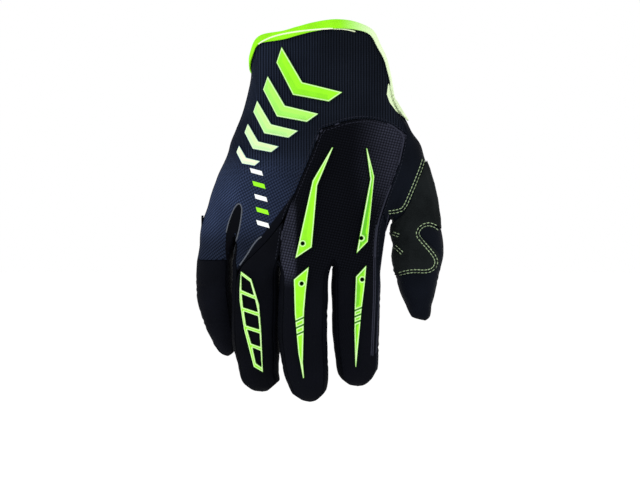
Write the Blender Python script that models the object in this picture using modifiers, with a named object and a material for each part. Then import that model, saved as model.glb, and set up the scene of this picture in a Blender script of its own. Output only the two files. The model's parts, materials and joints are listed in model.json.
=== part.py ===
"""A right-hand, full finger riding glove, filled out as a hand fills it, with its fingers hanging down.

Metres, +Z up. The origin is the centre of the wrist opening. The back of the hand faces -Y, the
palm +Y, and the thumb is on the +X side. One coarse cage gives the skin of the whole glove. Each
sewn panel is a region of that skin with its own wall, and the raised rubber pieces, the thumb
leather and the cuff binding are seated on the panels.
"""

import math
from collections import namedtuple

import bmesh
import bpy
from mathutils import Vector
from mathutils.bvhtree import BVHTree

# Driving sizes
CUFF_WIDTH = 0.0860
CUFF_DEPTH = 0.040
CUFF_RISE = 0.0212
NOTCH_DROP = 0.037
HAND_LENGTH = 0.1285
KNUCKLE_DEPTH = 0.029
PALM_DEPTH = 0.037
THUMB_WIDTH = 0.0315
THUMB_DEPTH = 0.025
THUMB_LENGTH = 0.1068
FABRIC = 0.0015
LEATHER = 0.0018
LEATHER_STEP = 0.0003
SEAM_GAP = 0.0003
RUBBER = 0.0014
RUBBER_SLOT = 0.0007
RUBBER_HOLE = 0.0012
LADDER_RUBBER = 0.0008
TAB_HEIGHT = 0.0076
TAB_STAND = 0.0014
TAB_THICKNESS = 0.0016
BINDING_TAPE = 0.0009
BINDING_LEG = 0.0042
BINDING_SEAT = 0.0006
CUTTER_REACH = 0.09
SEAT_GAP = 0.0003
TAB_SEAT = 0.0003

TIP_REACH = 1.32
BACK_CORNER = (0.86, 0.68)
PALM_CORNER = (0.76, 0.76)
THUMB_CORNER = (0.75, 0.75)

Finger = namedtuple("Finger", "width depth length gap_before sits_back curl roll sections")
Section = namedtuple("Section", "along drift width depth curl")
PalmRow = namedtuple("PalmRow", "down left right depth cup seam tuck")
Column = namedtuple("Column", "rim top_line crotch cup thickness flare")
ThumbSection = namedtuple("ThumbSection", "across along width depth back tilt")
Side = namedtuple("Side", "across down depth")

# Fingers from the little one to the index. Lengths run down from each finger's own crotch line.
FINGERS = {
    "little": Finger(0.0250, 0.0205, 0.0800, 0.0, 0.31, 0.20, -10, (
        Section(0.25, -0.03, 0.97, 1.04, 0.13),
        Section(0.42, -0.05, 1.04, 1.02, 0.28),
        Section(0.59, 0.00, 1.00, 0.98, 0.50),
        Section(0.78, 0.13, 0.90, 0.92, 0.76),
        Section(0.92, 0.25, 0.64, 0.68, 0.96),
        Section(1.00, 0.30, 0.00, 0.00, 1.02),
    )),
    "ring": Finger(0.0274, 0.0220, 0.0815, -0.0012, 0.09, 0.12, -6, (
        Section(0.11, 0.03, 1.00, 1.05, 0.00),
        Section(0.31, 0.01, 1.05, 1.02, 0.08),
        Section(0.54, -0.03, 1.00, 0.97, 0.30),
        Section(0.76, -0.01, 0.95, 0.92, 0.62),
        Section(0.91, 0.06, 0.74, 0.74, 0.90),
        Section(1.00, 0.10, 0.00, 0.00, 1.02),
    )),
    "middle": Finger(0.0294, 0.0230, 0.0875, 0.0012, -0.14, 0.10, 0, (
        Section(0.10, -0.01, 1.00, 1.05, -0.04),
        Section(0.30, -0.02, 1.01, 1.02, 0.02),
        Section(0.53, -0.03, 0.99, 0.97, 0.24),
        Section(0.76, 0.04, 0.91, 0.92, 0.58),
        Section(0.92, 0.10, 0.70, 0.72, 0.88),
        Section(1.00, 0.11, 0.00, 0.00, 1.02),
    )),
    "index": Finger(0.0286, 0.0225, 0.0778, 0.0036, -0.02, 0.12, 4, (
        Section(0.10, -0.01, 1.00, 1.05, -0.02),
        Section(0.31, -0.01, 1.00, 1.02, 0.06),
        Section(0.55, -0.02, 0.94, 0.96, 0.28),
        Section(0.77, 0.00, 0.87, 0.90, 0.62),
        Section(0.92, 0.01, 0.68, 0.70, 0.90),
        Section(1.00, 0.01, 0.00, 0.00, 1.02),
    )),
}

# Rows of the palm tube from the rim to the crotches. down runs from one named line to the next:
# rim to the knuckle panel's top line in rows 0 to 3, and that line to the crotches in rows 3 to 6.
PALM_ROWS = (
    PalmRow(down=0.00, left=-0.371, right=0.400, depth=0.00, cup=0.00, seam=0.500, tuck=0.00),
    PalmRow(down=0.32, left=-0.376, right=0.414, depth=0.10, cup=0.10, seam=0.505, tuck=0.00),
    PalmRow(down=0.66, left=-0.402, right=0.444, depth=0.55, cup=0.30, seam=0.512, tuck=0.00),
    PalmRow(down=1.00, left=-0.450, right=0.492, depth=1.00, cup=0.50, seam=0.515, tuck=0.00),
    PalmRow(down=0.34, left=-0.553, right=0.505, depth=1.00, cup=0.75, seam=0.432, tuck=0.30),
    PalmRow(down=0.69, left=-0.632, right=0.388, depth=0.60, cup=0.95, seam=0.425, tuck=0.50),
    PalmRow(down=1.00, left=-0.660, right=0.368, depth=0.00, cup=1.00, seam=0.432, tuck=0.25),
)
TOP_LINE_ROW = 3
CROTCH_ROW = 6

# Columns round the palm tube: the little finger's side, nine over the back, the thumb's side, nine
# over the palm. rim is a share of CUFF_RISE, top_line and crotch of HAND_LENGTH, cup of PALM_DEPTH,
# thickness of half the tube's depth, and flare, which fades from the rim, of the palm's width.
COLUMNS = (
    Column(rim=-0.14, top_line=0.345, crotch=0.850, cup=0.26, thickness=0.00, flare=0.000),
    Column(rim=0.20, top_line=0.345, crotch=0.850, cup=0.25, thickness=1.00, flare=0.000),
    Column(rim=0.46, top_line=0.345, crotch=0.838, cup=0.21, thickness=1.00, flare=0.000),
    Column(rim=0.66, top_line=0.345, crotch=0.826, cup=0.14, thickness=1.00, flare=0.000),
    Column(rim=0.83, top_line=0.345, crotch=0.930, cup=0.06, thickness=1.02, flare=0.000),
    Column(rim=0.97, top_line=0.355, crotch=1.000, cup=0.00, thickness=1.05, flare=0.000),
    Column(rim=1.06, top_line=0.295, crotch=1.000, cup=-0.06, thickness=1.08, flare=0.000),
    Column(rim=0.94, top_line=0.282, crotch=0.995, cup=-0.05, thickness=1.05, flare=0.022),
    Column(rim=-0.26, top_line=0.292, crotch=0.960, cup=0.00, thickness=1.02, flare=0.062),
    Column(rim=-1.32, top_line=0.330, crotch=0.892, cup=0.05, thickness=0.98, flare=0.034),
    Column(rim=0.00, top_line=0.400, crotch=0.900, cup=0.08, thickness=0.00, flare=0.000),
    Column(rim=-1.32, top_line=0.380, crotch=0.905, cup=0.10, thickness=0.95, flare=0.074),
    Column(rim=-0.72, top_line=0.345, crotch=0.960, cup=0.02, thickness=1.08, flare=0.037),
    Column(rim=-0.78, top_line=0.345, crotch=0.995, cup=-0.05, thickness=1.02, flare=0.000),
    Column(rim=-0.82, top_line=0.345, crotch=1.000, cup=-0.06, thickness=0.92, flare=0.000),
    Column(rim=-0.82, top_line=0.345, crotch=1.000, cup=0.00, thickness=0.86, flare=0.000),
    Column(rim=-0.80, top_line=0.345, crotch=0.930, cup=0.06, thickness=0.88, flare=0.000),
    Column(rim=-0.74, top_line=0.345, crotch=0.826, cup=0.14, thickness=0.96, flare=0.000),
    Column(rim=-0.60, top_line=0.345, crotch=0.838, cup=0.21, thickness=1.00, flare=0.000),
    Column(rim=-0.38, top_line=0.345, crotch=0.850, cup=0.25, thickness=0.96, flare=0.000),
)
SIDE_LITTLE = 0
SIDE_THUMB = 10
BACK_COLUMNS = range(1, 10)
CUFF_COLUMN_STEP = math.pi / 10
SIDE_INSET = 0.04

# The thumb side's own line from the notch's lowest point to the top of the thumb hole
THUMB_SIDE = (
    Side(across=0.470, down=0.362, depth=0.02),
    Side(across=0.508, down=0.390, depth=0.04),
    Side(across=0.545, down=0.415, depth=0.06),
    Side(across=0.580, down=0.440, depth=0.08),
)
NOTCH_OVERSHOOT = 1.10
GAP_LEAN = 0.75

# Thumb sections, measured from a root beside the hand in shares of the thumb's own sizes
THUMB_ROOT_ACROSS = 0.541
THUMB_ROOT_DOWN = 0.451
THUMB_SECTIONS = (
    ThumbSection(across=-0.05, along=0.218, width=1.00, depth=1.20, back=0.20, tilt=47),
    ThumbSection(across=-0.02, along=0.354, width=1.08, depth=1.14, back=0.38, tilt=30),
    ThumbSection(across=0.04, along=0.543, width=1.02, depth=1.05, back=0.60, tilt=10),
    ThumbSection(across=0.03, along=0.684, width=0.92, depth=0.98, back=0.68, tilt=4),
    ThumbSection(across=0.03, along=0.814, width=0.74, depth=0.84, back=0.72, tilt=0),
    ThumbSection(across=0.08, along=0.920, width=0.46, depth=0.58, back=0.73, tilt=-6),
    ThumbSection(across=0.12, along=1.000, width=0.00, depth=0.00, back=0.73, tilt=0),
)

PANELS = (
    "back_panel", "knuckle_panel", "ring_finger_back", "little_finger_back", "thumb_back",
    "palm_panel", "fourchette_little_ring", "fourchette_ring_middle", "fourchette_middle_index",
    "index_side",
)
COLOURS = {
    "navy_mesh": ((0.020, 0.028, 0.055), 0.75),
    "charcoal_mesh": ((0.014, 0.014, 0.020), 0.70),
    "black_stretch": ((0.010, 0.010, 0.014), 0.60),
    "navy_stretch": ((0.015, 0.018, 0.030), 0.60),
    "black_leather": ((0.013, 0.013, 0.012), 0.80),
    "green_rubber": ((0.300, 0.900, 0.020), 0.40),
    "pale_rubber": ((0.800, 0.950, 0.550), 0.40),
    "green_binding": ((0.280, 0.880, 0.030), 0.65),
}
PANEL_MATERIAL = {
    "back_panel": "navy_mesh",
    "knuckle_panel": "charcoal_mesh",
    "ring_finger_back": "black_stretch",
    "little_finger_back": "black_stretch",
    "thumb_back": "navy_stretch",
    "palm_panel": "black_leather",
    "fourchette_little_ring": "black_stretch",
    "fourchette_ring_middle": "black_stretch",
    "fourchette_middle_index": "black_stretch",
    "index_side": "navy_stretch",
}


# Scene set-up

def clear_scene():
    for obj in list(bpy.data.objects):
        bpy.data.objects.remove(obj, do_unlink=True)


def new_collection(name):
    collection = bpy.data.collections.new(name)
    bpy.context.scene.collection.children.link(collection)
    return collection


def material(name):
    found = bpy.data.materials.get(name)
    if found:
        return found
    colour, roughness = COLOURS[name]
    made = bpy.data.materials.new(name)
    made.use_nodes = True
    shader = made.node_tree.nodes["Principled BSDF"]
    shader.inputs["Base Color"].default_value = (*colour, 1.0)
    shader.inputs["Roughness"].default_value = roughness
    shader.inputs["Metallic"].default_value = 0.0
    return made


def add_object(name, mesh, collection, finish=None):
    obj = bpy.data.objects.new(name, mesh)
    collection.objects.link(obj)
    if finish:
        mesh.materials.clear()
        mesh.materials.append(material(finish))
    return obj


def mix(low, high, share):
    return low + (high - low) * share


# The palm tube

def knuckle_edges():
    """Where each finger begins and ends across the knuckles, from the little finger's outer side."""
    edges = [(0.0, FINGERS["little"].width)]
    for name in ("ring", "middle", "index"):
        start = edges[-1][1] + FINGERS[name].gap_before
        edges.append((start, start + FINGERS[name].width))
    return edges


def palm_width():
    return knuckle_edges()[-1][1]


def crotch_shares():
    """The three crotches as shares of the palm's width."""
    edges = knuckle_edges()
    return [(edges[i][1] + edges[i + 1][0]) / 2 / palm_width() for i in range(3)]


def lean_gaps(points):
    """Turns the line through each gap so that it stands square to the two fingers beside it."""
    fingers = list(FINGERS.values())
    edges = knuckle_edges()
    for gap in (1, 2, 3):
        centres = [sum(edges[i]) / 2 for i in (gap - 1, gap)]
        depths = [fingers[i].sits_back * PALM_DEPTH for i in (gap - 1, gap)]
        slope = (depths[0] - depths[1]) / (centres[1] - centres[0]) * GAP_LEAN
        back, palm = points[1 + 2 * gap], points[len(COLUMNS) - 1 - 2 * gap]
        shift = slope * (palm.y - back.y) / 2
        palm.x += shift
        back.x -= shift


def column_shares(row):
    """Across-shares of the nine columns over the back: even round the cuff, finger by finger below."""
    cuff = [(1 - math.cos(CUFF_COLUMN_STEP * i)) / 2 for i in BACK_COLUMNS]
    first, second, third = crotch_shares()
    stops = [SIDE_INSET, first, second, third, 1 - SIDE_INSET]
    knuckle = []
    for low, high in zip(stops, stops[1:]):
        knuckle += [low, (low + high) / 2]
    knuckle.append(stops[-1])
    fan = PALM_ROWS.index(row) / CROTCH_ROW
    shares = [mix(a, b, fan) for a, b in zip(cuff, knuckle)]
    centre = shares[4]
    shares = [
        row.seam * s / centre if s < centre else 1 - (1 - row.seam) * (1 - s) / (1 - centre)
        for s in shares
    ]
    shares[3] = mix(shares[3], shares[4], row.tuck)
    return shares


def palm_height(row_number, column):
    row = PALM_ROWS[row_number]
    top_line = -column.top_line * HAND_LENGTH
    if row_number <= TOP_LINE_ROW:
        return mix(column.rim * CUFF_RISE, top_line, row.down)
    return mix(top_line, -column.crotch * HAND_LENGTH, row.down)


def tube_depth(row_number, row):
    base = CUFF_DEPTH if row_number < TOP_LINE_ROW else KNUCKLE_DEPTH
    return mix(base, PALM_DEPTH, row.depth)


def palm_ring(row_number):
    """Twenty points round the palm tube at one row, anticlockwise from above."""
    row = PALM_ROWS[row_number]
    width = (row.right - row.left) * palm_width()
    if row_number == 0:
        width = CUFF_WIDTH
    start = (row.left + row.right) / 2 * palm_width() - width / 2
    half_depth = tube_depth(row_number, row) / 2
    shares = column_shares(row)
    bulge = mix(2.0, 2.5, PALM_ROWS.index(row) / CROTCH_ROW)
    points = []
    for number, column in enumerate(COLUMNS):
        centre_y = column.cup * row.cup * PALM_DEPTH
        if number == SIDE_LITTLE:
            x = start - shares[0] * width / 2
            y = centre_y
        elif number == SIDE_THUMB:
            x = start + width + (1 - shares[-1]) * width / 2
            y = centre_y
        else:
            on_back = number in BACK_COLUMNS
            share = shares[number - 1] if on_back else shares[len(COLUMNS) - 1 - number]
            x = start + share * width
            across = abs(2 * share - 1)
            reach = half_depth * (1 - across**bulge) ** (1 / bulge) * column.thickness
            y = centre_y + (-reach if on_back else reach)
        if row_number < TOP_LINE_ROW:
            x += column.flare * (1 - row.down) * palm_width()
        points.append(Vector((x, y, palm_height(row_number, column))))
    if row_number <= TOP_LINE_ROW:
        side = THUMB_SIDE[row_number]
        notch = NOTCH_DROP * NOTCH_OVERSHOOT if row_number == 0 else side.down * HAND_LENGTH
        points[SIDE_THUMB] = Vector((side.across * palm_width(), side.depth * PALM_DEPTH, -notch))
    if row_number == CROTCH_ROW:
        lean_gaps(points)
    return points


# Fingers and thumb

def oval(centre, side, back, half_width, half_depth, back_corner, palm_corner):
    """Eight cage points round a section, from the back's left corner, anticlockwise from above."""
    (bx, by), (px, py) = back_corner, palm_corner
    # Subdivision pulls a cage point a third of the way to its neighbours, so the cage is larger
    a = half_width / (2 / 3 + (bx + px) / 6)
    out, under = half_depth / (2 / 3 + by / 3), half_depth / (2 / 3 + py / 3)
    steps = ((-bx, by * out), (0, out), (bx, by * out), (1, 0),
             (px, -py * under), (0, -under), (-px, -py * under), (-1, 0))
    return [centre + side * (a * across) + back * depth for across, depth in steps]


def finger_rings(name, base_x, base_z, base_y):
    """Cage rings of one finger, and its tip point."""
    finger = FINGERS[name]
    centres = []
    for section in finger.sections:
        x = base_x + section.drift * finger.width
        y = base_y + section.curl * finger.curl * finger.length
        centres.append(Vector((x, y, base_z - section.along * finger.length)))
    roll = math.radians(finger.roll)
    rings = []
    for i, section in enumerate(finger.sections[:-1]):
        before = centres[i - 1] if i else centres[0] + Vector((0, 0, finger.length * 0.1))
        down = (centres[i + 1] - before).normalized()
        side = Vector((1, 0, 0))
        back = side.cross(down).normalized()
        if back.y > 0:
            back.negate()
        turned_side = side * math.cos(roll) + back * -math.sin(roll)
        turned_back = back * math.cos(roll) + side * math.sin(roll)
        rings.append(oval(centres[i], turned_side, turned_back,
                          finger.width * section.width / 2, finger.depth * section.depth / 2,
                          BACK_CORNER, PALM_CORNER))
    tip = centres[-1] + (centres[-1] - centres[-2]) * TIP_REACH
    return rings, tip


def thumb_centre(section):
    x = THUMB_ROOT_ACROSS * palm_width() + section.across * THUMB_WIDTH
    y = section.back * THUMB_DEPTH
    z = -THUMB_ROOT_DOWN * HAND_LENGTH - section.along * THUMB_LENGTH
    return Vector((x, y, z))


def thumb_rings():
    """Cage rings of the thumb in the order of its hole: outer side, palm, inner side, back."""
    rings = []
    for section in THUMB_SECTIONS[:-1]:
        tilt = math.radians(section.tilt)
        outward = Vector((math.cos(tilt), 0, math.sin(tilt)))
        ring = oval(thumb_centre(section), outward, Vector((0, -1, 0)),
                    THUMB_WIDTH * section.width / 2, THUMB_DEPTH * section.depth / 2,
                    THUMB_CORNER, THUMB_CORNER)
        rings.append([ring[i] for i in (3, 4, 5, 6, 7, 0, 1, 2)])
    last, tip = thumb_centre(THUMB_SECTIONS[-2]), thumb_centre(THUMB_SECTIONS[-1])
    return rings, tip + (tip - last) * TIP_REACH


# The cage

def panel_of_palm(strip, column):
    """The panel that holds the palm tube's face in this strip, between column and the next."""
    if column in (9, 10) and strip in (3, 4):
        return None
    if column == 9:
        return "thumb_back" if strip < TOP_LINE_ROW else "index_side"
    if column >= 10:
        return "palm_panel"
    if column <= 3:
        return "back_panel"
    if column == 4:
        return "back_panel" if strip < CROTCH_ROW - 1 else ("back_panel", "ring_finger_back")
    return "back_panel" if strip < TOP_LINE_ROW else "knuckle_panel"


def panels_of_finger(name, strip):
    """The panels of a finger's eight faces in one strip, from the back's left half."""
    backs = {
        "little": "back_panel" if strip == 0 else "little_finger_back",
        "ring": "ring_finger_back",
        "middle": "knuckle_panel",
        "index": "knuckle_panel",
    }
    left = {
        "little": ("palm_panel", backs["little"]),
        "ring": ("fourchette_little_ring",) * 2,
        "middle": ("fourchette_ring_middle",) * 2,
        "index": ("fourchette_middle_index",) * 2,
    }
    right = {
        "little": ("fourchette_little_ring",) * 2,
        "ring": ("fourchette_ring_middle",) * 2,
        "middle": ("fourchette_middle_index",) * 2,
        "index": ("index_side", "palm_panel"),
    }
    first_back = backs[name]
    if name == "ring" and strip == 0:
        first_back = ("back_panel", "ring_finger_back")
    return (first_back, backs[name], *right[name], "palm_panel", "palm_panel", *left[name])


def add_tube(bm, rings, tip, panels_for):
    """Skins the rings, each eight vertices, and closes the last over the tip with four faces."""
    for strip, (upper, lower) in enumerate(zip(rings, rings[1:])):
        panels = panels_for(strip)
        for i in range(8):
            j = (i + 1) % 8
            add_face(bm, (upper[i], lower[i], lower[j], upper[j]), panels[i])
    last = rings[-1]
    centre = bm.verts.new(tip)
    panels = panels_for(len(rings) - 1)
    for i in (0, 2, 4, 6):
        add_face(bm, (last[i], centre, last[(i + 2) % 8], last[i + 1]), panels[i])


def add_face(bm, corners, panel):
    """One cage face, or two where a seam crosses it from its second corner up to its fourth."""
    if isinstance(panel, tuple):
        first, second, third, fourth = corners
        add_face(bm, (first, second, fourth), panel[0])
        add_face(bm, (second, third, fourth), panel[1])
        return
    face = bm.faces.new(corners)
    face.material_index = PANELS.index(panel)


def build_cage():
    bm = bmesh.new()
    rows = [[bm.verts.new(p) for p in palm_ring(i)] for i in range(len(PALM_ROWS))]
    count = len(COLUMNS)
    for strip, (upper, lower) in enumerate(zip(rows, rows[1:])):
        for i in range(count):
            j = (i + 1) % count
            panel = panel_of_palm(strip, i)
            if panel:
                add_face(bm, (upper[i], lower[i], lower[j], upper[j]), panel)
    crotch = rows[CROTCH_ROW]
    mids = {0: crotch[SIDE_LITTLE], 4: crotch[SIDE_THUMB]}
    for gap in (1, 2, 3):
        back, palm = crotch[1 + 2 * gap], crotch[count - 1 - 2 * gap]
        mids[gap] = bm.verts.new((back.co + palm.co) / 2)
    left = (PALM_ROWS[CROTCH_ROW].left) * palm_width()
    for number, (name, (low, high)) in enumerate(zip(FINGERS, knuckle_edges())):
        first = 1 + 2 * number
        backs = [crotch[first + i] for i in range(3)]
        palms = [crotch[count - 1 - 2 * number - i] for i in range(3)]
        base = [*backs, mids[number + 1], *reversed(palms), mids[number]]
        base_z = -(COLUMNS[first].crotch + COLUMNS[first + 2].crotch) / 2 * HAND_LENGTH
        if name in ("ring", "index"):
            base_z = -max(COLUMNS[first].crotch, COLUMNS[first + 2].crotch) * HAND_LENGTH
        base_y = FINGERS[name].sits_back * PALM_DEPTH
        points, tip = finger_rings(name, left + (low + high) / 2, base_z, base_y)
        rings = [base] + [[bm.verts.new(p) for p in ring] for ring in points]
        add_tube(bm, rings, tip, lambda strip, name=name: panels_of_finger(name, strip))
    top, middle, bottom = rows[3], rows[4], rows[5]
    hole = [top[10], top[11], middle[11], bottom[11], bottom[10], bottom[9], middle[9], top[9]]
    points, tip = thumb_rings()
    rings = [hole] + [[bm.verts.new(p) for p in ring] for ring in points]
    add_tube(bm, rings, tip, lambda strip: ("palm_panel",) * 4 + ("thumb_back",) * 4)
    bmesh.ops.delete(bm, geom=[v for v in bm.verts if not v.link_faces], context="VERTS")
    mesh = bpy.data.meshes.new("glove_cage")
    bm.to_mesh(mesh)
    bm.free()
    for name in PANELS:
        mesh.materials.append(material(PANEL_MATERIAL[name]))
    return mesh


def build_skin(guides):
    """The cage once subdivided: the outer face of every panel, still in one mesh."""
    cage = add_object("glove_cage", build_cage(), guides)
    smooth = cage.modifiers.new("Subdivision", "SUBSURF")
    smooth.levels = smooth.render_levels = 1
    cage.hide_render = True
    cage.display_type = "WIRE"
    bpy.context.view_layer.update()
    return bpy.data.meshes.new_from_object(
        cage.evaluated_get(bpy.context.evaluated_depsgraph_get()))


# Panels

def inward(edge):
    """The direction in the panel that leads away from this border edge, across it."""
    face = edge.link_faces[0]
    along = edge.verts[1].co - edge.verts[0].co
    direction = face.normal.cross(along).normalized()
    towards = face.calc_center_median() - edge.verts[0].co
    return direction if direction.dot(towards) > 0 else -direction


SHARPEST_CORNER = 0.10


def pull_in_border(bm, rim, distance):
    """Moves the border's vertices into the panel by distance, apart from those on the cuff's rim."""
    moves = {}
    for vert in bm.verts:
        borders = [e for e in vert.link_edges if e.is_boundary and not e[rim]]
        if not borders:
            continue
        ways = [inward(e) for e in borders]
        if len(ways) == 1:
            moves[vert] = ways[0] * distance
            continue
        total = ways[0] + ways[1]
        moves[vert] = total * (distance / max(SHARPEST_CORNER, 1 + ways[0].dot(ways[1])))
    for vert, move in moves.items():
        vert.co += move


def skin_piece(skin, panel):
    """One panel's faces, with each vertex's own normal and number on the whole skin."""
    bm = bmesh.new()
    bm.from_mesh(skin)
    bm.normal_update()
    normals = bm.verts.layers.float_vector.new("skin_normal")
    numbers = bm.verts.layers.int.new("skin_number")
    for vert in bm.verts:
        vert[normals] = vert.normal
        vert[numbers] = vert.index
    rim = bm.edges.layers.int.new("cuff_rim")
    for edge in bm.edges:
        edge[rim] = int(edge.is_boundary)
    others = [f for f in bm.faces if f.material_index != PANELS.index(panel)]
    bmesh.ops.delete(bm, geom=others, context="FACES")
    bmesh.ops.triangulate(bm, faces=bm.faces[:], quad_method="SHORT_EDGE")
    bm.normal_update()
    return bm


def thicken(bm, wall):
    """Gives the open surface a wall. Each quad of the wall's edge is split from its lower skin
    number outside to its higher one inside, so two panels that meet there stay alike."""
    normals = bm.verts.layers.float_vector["skin_normal"]
    numbers = bm.verts.layers.int["skin_number"]
    copied = bmesh.ops.extrude_face_region(bm, geom=bm.faces[:], use_keep_orig=True)
    inner = {e for e in copied["geom"] if isinstance(e, bmesh.types.BMVert)}
    for vert in inner:
        vert.co -= vert[normals] * wall
    for face in bm.faces[:]:
        inside = [v for v in face.verts if v in inner]
        outside = [v for v in face.verts if v not in inner]
        if len(inside) == 2 and len(outside) == 2:
            low = min(outside, key=lambda v: v[numbers])
            high = max(inside, key=lambda v: v[numbers])
            bmesh.utils.face_split(face, low, high)
    bmesh.ops.recalc_face_normals(bm, faces=bm.faces[:])


def panel_mesh(skin, name, raise_by, wall):
    """One panel cut out of the skin and given its wall, inwards along the skin's own normals."""
    bm = skin_piece(skin, name)
    pull_in_border(bm, bm.edges.layers.int["cuff_rim"], SEAM_GAP / 2)
    normals = bm.verts.layers.float_vector["skin_normal"]
    for vert in bm.verts:
        vert.co += vert[normals] * raise_by
    thicken(bm, wall)
    return to_mesh(bm, name)


def to_mesh(bm, name):
    for face in bm.faces:
        face.material_index = 0
        face.smooth = True
    mesh = bpy.data.meshes.new(name)
    bm.to_mesh(mesh)
    bm.free()
    mesh.set_sharp_from_angle(angle=math.radians(40))
    return mesh


def add_panels(skin, parts):
    for name in PANELS:
        if name == "palm_panel":
            mesh = panel_mesh(skin, name, LEATHER_STEP, LEATHER)
        else:
            mesh = panel_mesh(skin, name, 0.0, FABRIC)
        add_object(name, mesh, parts, PANEL_MATERIAL[name])


# The cuff binding

def rim_loop(bm):
    """The skin's open edge as an ordered loop of vertices."""
    border = [e for e in bm.edges if e.is_boundary]
    vert = border[0].verts[0]
    loop, edge = [vert], border[0]
    while True:
        vert = edge.other_vert(vert)
        if vert is loop[0]:
            return loop
        loop.append(vert)
        edge = next(e for e in vert.link_edges if e.is_boundary and e is not edge)


def down_the_skin(vert, length):
    """Points and normals at the rim, half the length and the whole length down the skin's column."""
    path = [vert]
    edge = next(e for e in vert.link_edges if not e.is_boundary)
    for _ in range(3):
        vert = edge.other_vert(vert)
        path.append(vert)
        opposite = [e for e in vert.link_edges
                    if not set(e.link_faces) & set(edge.link_faces)]
        edge = opposite[0]
    found = []
    for wanted in (0.0, length / 2, length):
        walked = 0.0
        for start, end in zip(path, path[1:]):
            step = (end.co - start.co).length
            if walked + step >= wanted:
                share = (wanted - walked) / step
                found.append((start.co.lerp(end.co, share), start.normal.lerp(end.normal, share)))
                break
            walked += step
    return found


def binding_section(vert):
    """The folded tape's section at one rim vertex: up the outside, over the edge, down the inside."""
    legs = down_the_skin(vert, BINDING_LEG)
    up = (legs[0][0] - legs[1][0]).normalized()
    outside, inside = LEATHER_STEP + BINDING_SEAT, FABRIC + BINDING_SEAT
    over = BINDING_SEAT + BINDING_TAPE
    rim, out = legs[0]
    section = [point + normal * (outside + BINDING_TAPE) for point, normal in reversed(legs)]
    section.append(rim + out * (outside + BINDING_TAPE / 2) + up * over)
    section.append(rim - out * (inside + BINDING_TAPE / 2) + up * over)
    section += [point - normal * (inside + BINDING_TAPE) for point, normal in legs]
    section += [point - normal * inside for point, normal in reversed(legs[1:])]
    section.append(rim - out * inside + up * BINDING_SEAT)
    section.append(rim + out * outside + up * BINDING_SEAT)
    section += [point + normal * outside for point, normal in legs[1:]]
    return section


FAR_SIDE_POINTS = 7


def add_binding(skin, parts):
    source = bmesh.new()
    source.from_mesh(skin)
    source.normal_update()
    bm = bmesh.new()
    loop = rim_loop(source)
    rings = [[bm.verts.new(p) for p in binding_section(vert)] for vert in loop]
    count = len(rings)
    for station in range(count):
        following = (station + 1) % count
        low, high = sorted((station, following), key=lambda i: loop[i].index)
        here, there = rings[station], rings[following]
        for i in range(len(here)):
            j = (i + 1) % len(here)
            face = bm.faces.new((here[i], there[i], there[j], here[j]))
            # The tape's two sides are split alike, and as the panels' edges are, so none cross
            nearer, farther = (i, j) if i < FAR_SIDE_POINTS else (j, i)
            bmesh.utils.face_split(face, rings[low][nearer], rings[high][farther])
    if bm.calc_volume(signed=True) < 0:
        bmesh.ops.reverse_faces(bm, faces=bm.faces[:])
    source.free()
    add_object("cuff_binding", to_mesh(bm, "cuff_binding"), parts, "green_binding")


# Pieces seated on the panels

def seated_shell(skin, panel, low, high, name):
    """A closed layer over one panel, from low to high above the skin."""
    bm = skin_piece(skin, panel)
    normals = bm.verts.layers.float_vector["skin_normal"]
    for vert in bm.verts:
        vert.co += vert[normals] * high
    thicken(bm, high - low)
    return to_mesh(bm, name)


def prism(name, outline, cutters, near=-CUTTER_REACH, far=CUTTER_REACH):
    """A cutter through the glove from front to back, with the outline's points given as (x, z)."""
    bm = bmesh.new()
    face = bm.faces.new([bm.verts.new((x, near, z)) for x, z in outline])
    pushed = bmesh.ops.extrude_face_region(bm, geom=[face], use_keep_orig=True)
    moved = [v for v in pushed["geom"] if isinstance(v, bmesh.types.BMVert)]
    bmesh.ops.translate(bm, vec=(0, far - near, 0), verts=moved)
    bmesh.ops.recalc_face_normals(bm, faces=bm.faces[:])
    mesh = bpy.data.meshes.new(name)
    bm.to_mesh(mesh)
    bm.free()
    cutter = add_object(name, mesh, cutters)
    cutter.hide_render = True
    cutter.display_type = "WIRE"
    return cutter


def cut(obj, cutter, operation):
    modifier = obj.modifiers.new(cutter.name, "BOOLEAN")
    modifier.operation = operation
    modifier.object = cutter


def finish_cut(obj):
    """Joins what the cuts left closer than a hair, and makes triangles of their many-sided faces."""
    weld = obj.modifiers.new("Weld", "WELD")
    weld.merge_threshold = 0.00003
    triangles = obj.modifiers.new("Triangulate", "TRIANGULATE")
    triangles.min_vertices = 5


def disc(centre, radius, sides=10):
    x, z = centre
    turns = [2 * math.pi * i / sides for i in range(sides)]
    return [(x + radius * math.cos(t), z + radius * math.sin(t)) for t in turns]


def groove(name, skin, outline, cutters):
    """A cutter that takes the outline out of the outer half of a rubber piece's thickness."""
    mesh = seated_shell(skin, "knuckle_panel", SEAT_GAP + RUBBER / 2, SEAT_GAP + RUBBER * 2, name)
    cutter = add_object(name, mesh, cutters)
    cutter.hide_render = True
    cutter.display_type = "WIRE"
    cut(cutter, prism(name + "_outline", outline, cutters, far=0.02), "INTERSECT")
    return cutter


def slanted_bar(start, end, width):
    """A thin parallelogram from start to end, as tall as width."""
    (x0, z0), (x1, z1) = start, end
    half = width / 2
    return [(x0, z0 - half), (x1, z1 - half), (x1, z1 + half), (x0, z0 + half)]


def on_hand(across, down):
    return across * palm_width(), -down * HAND_LENGTH


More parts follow.
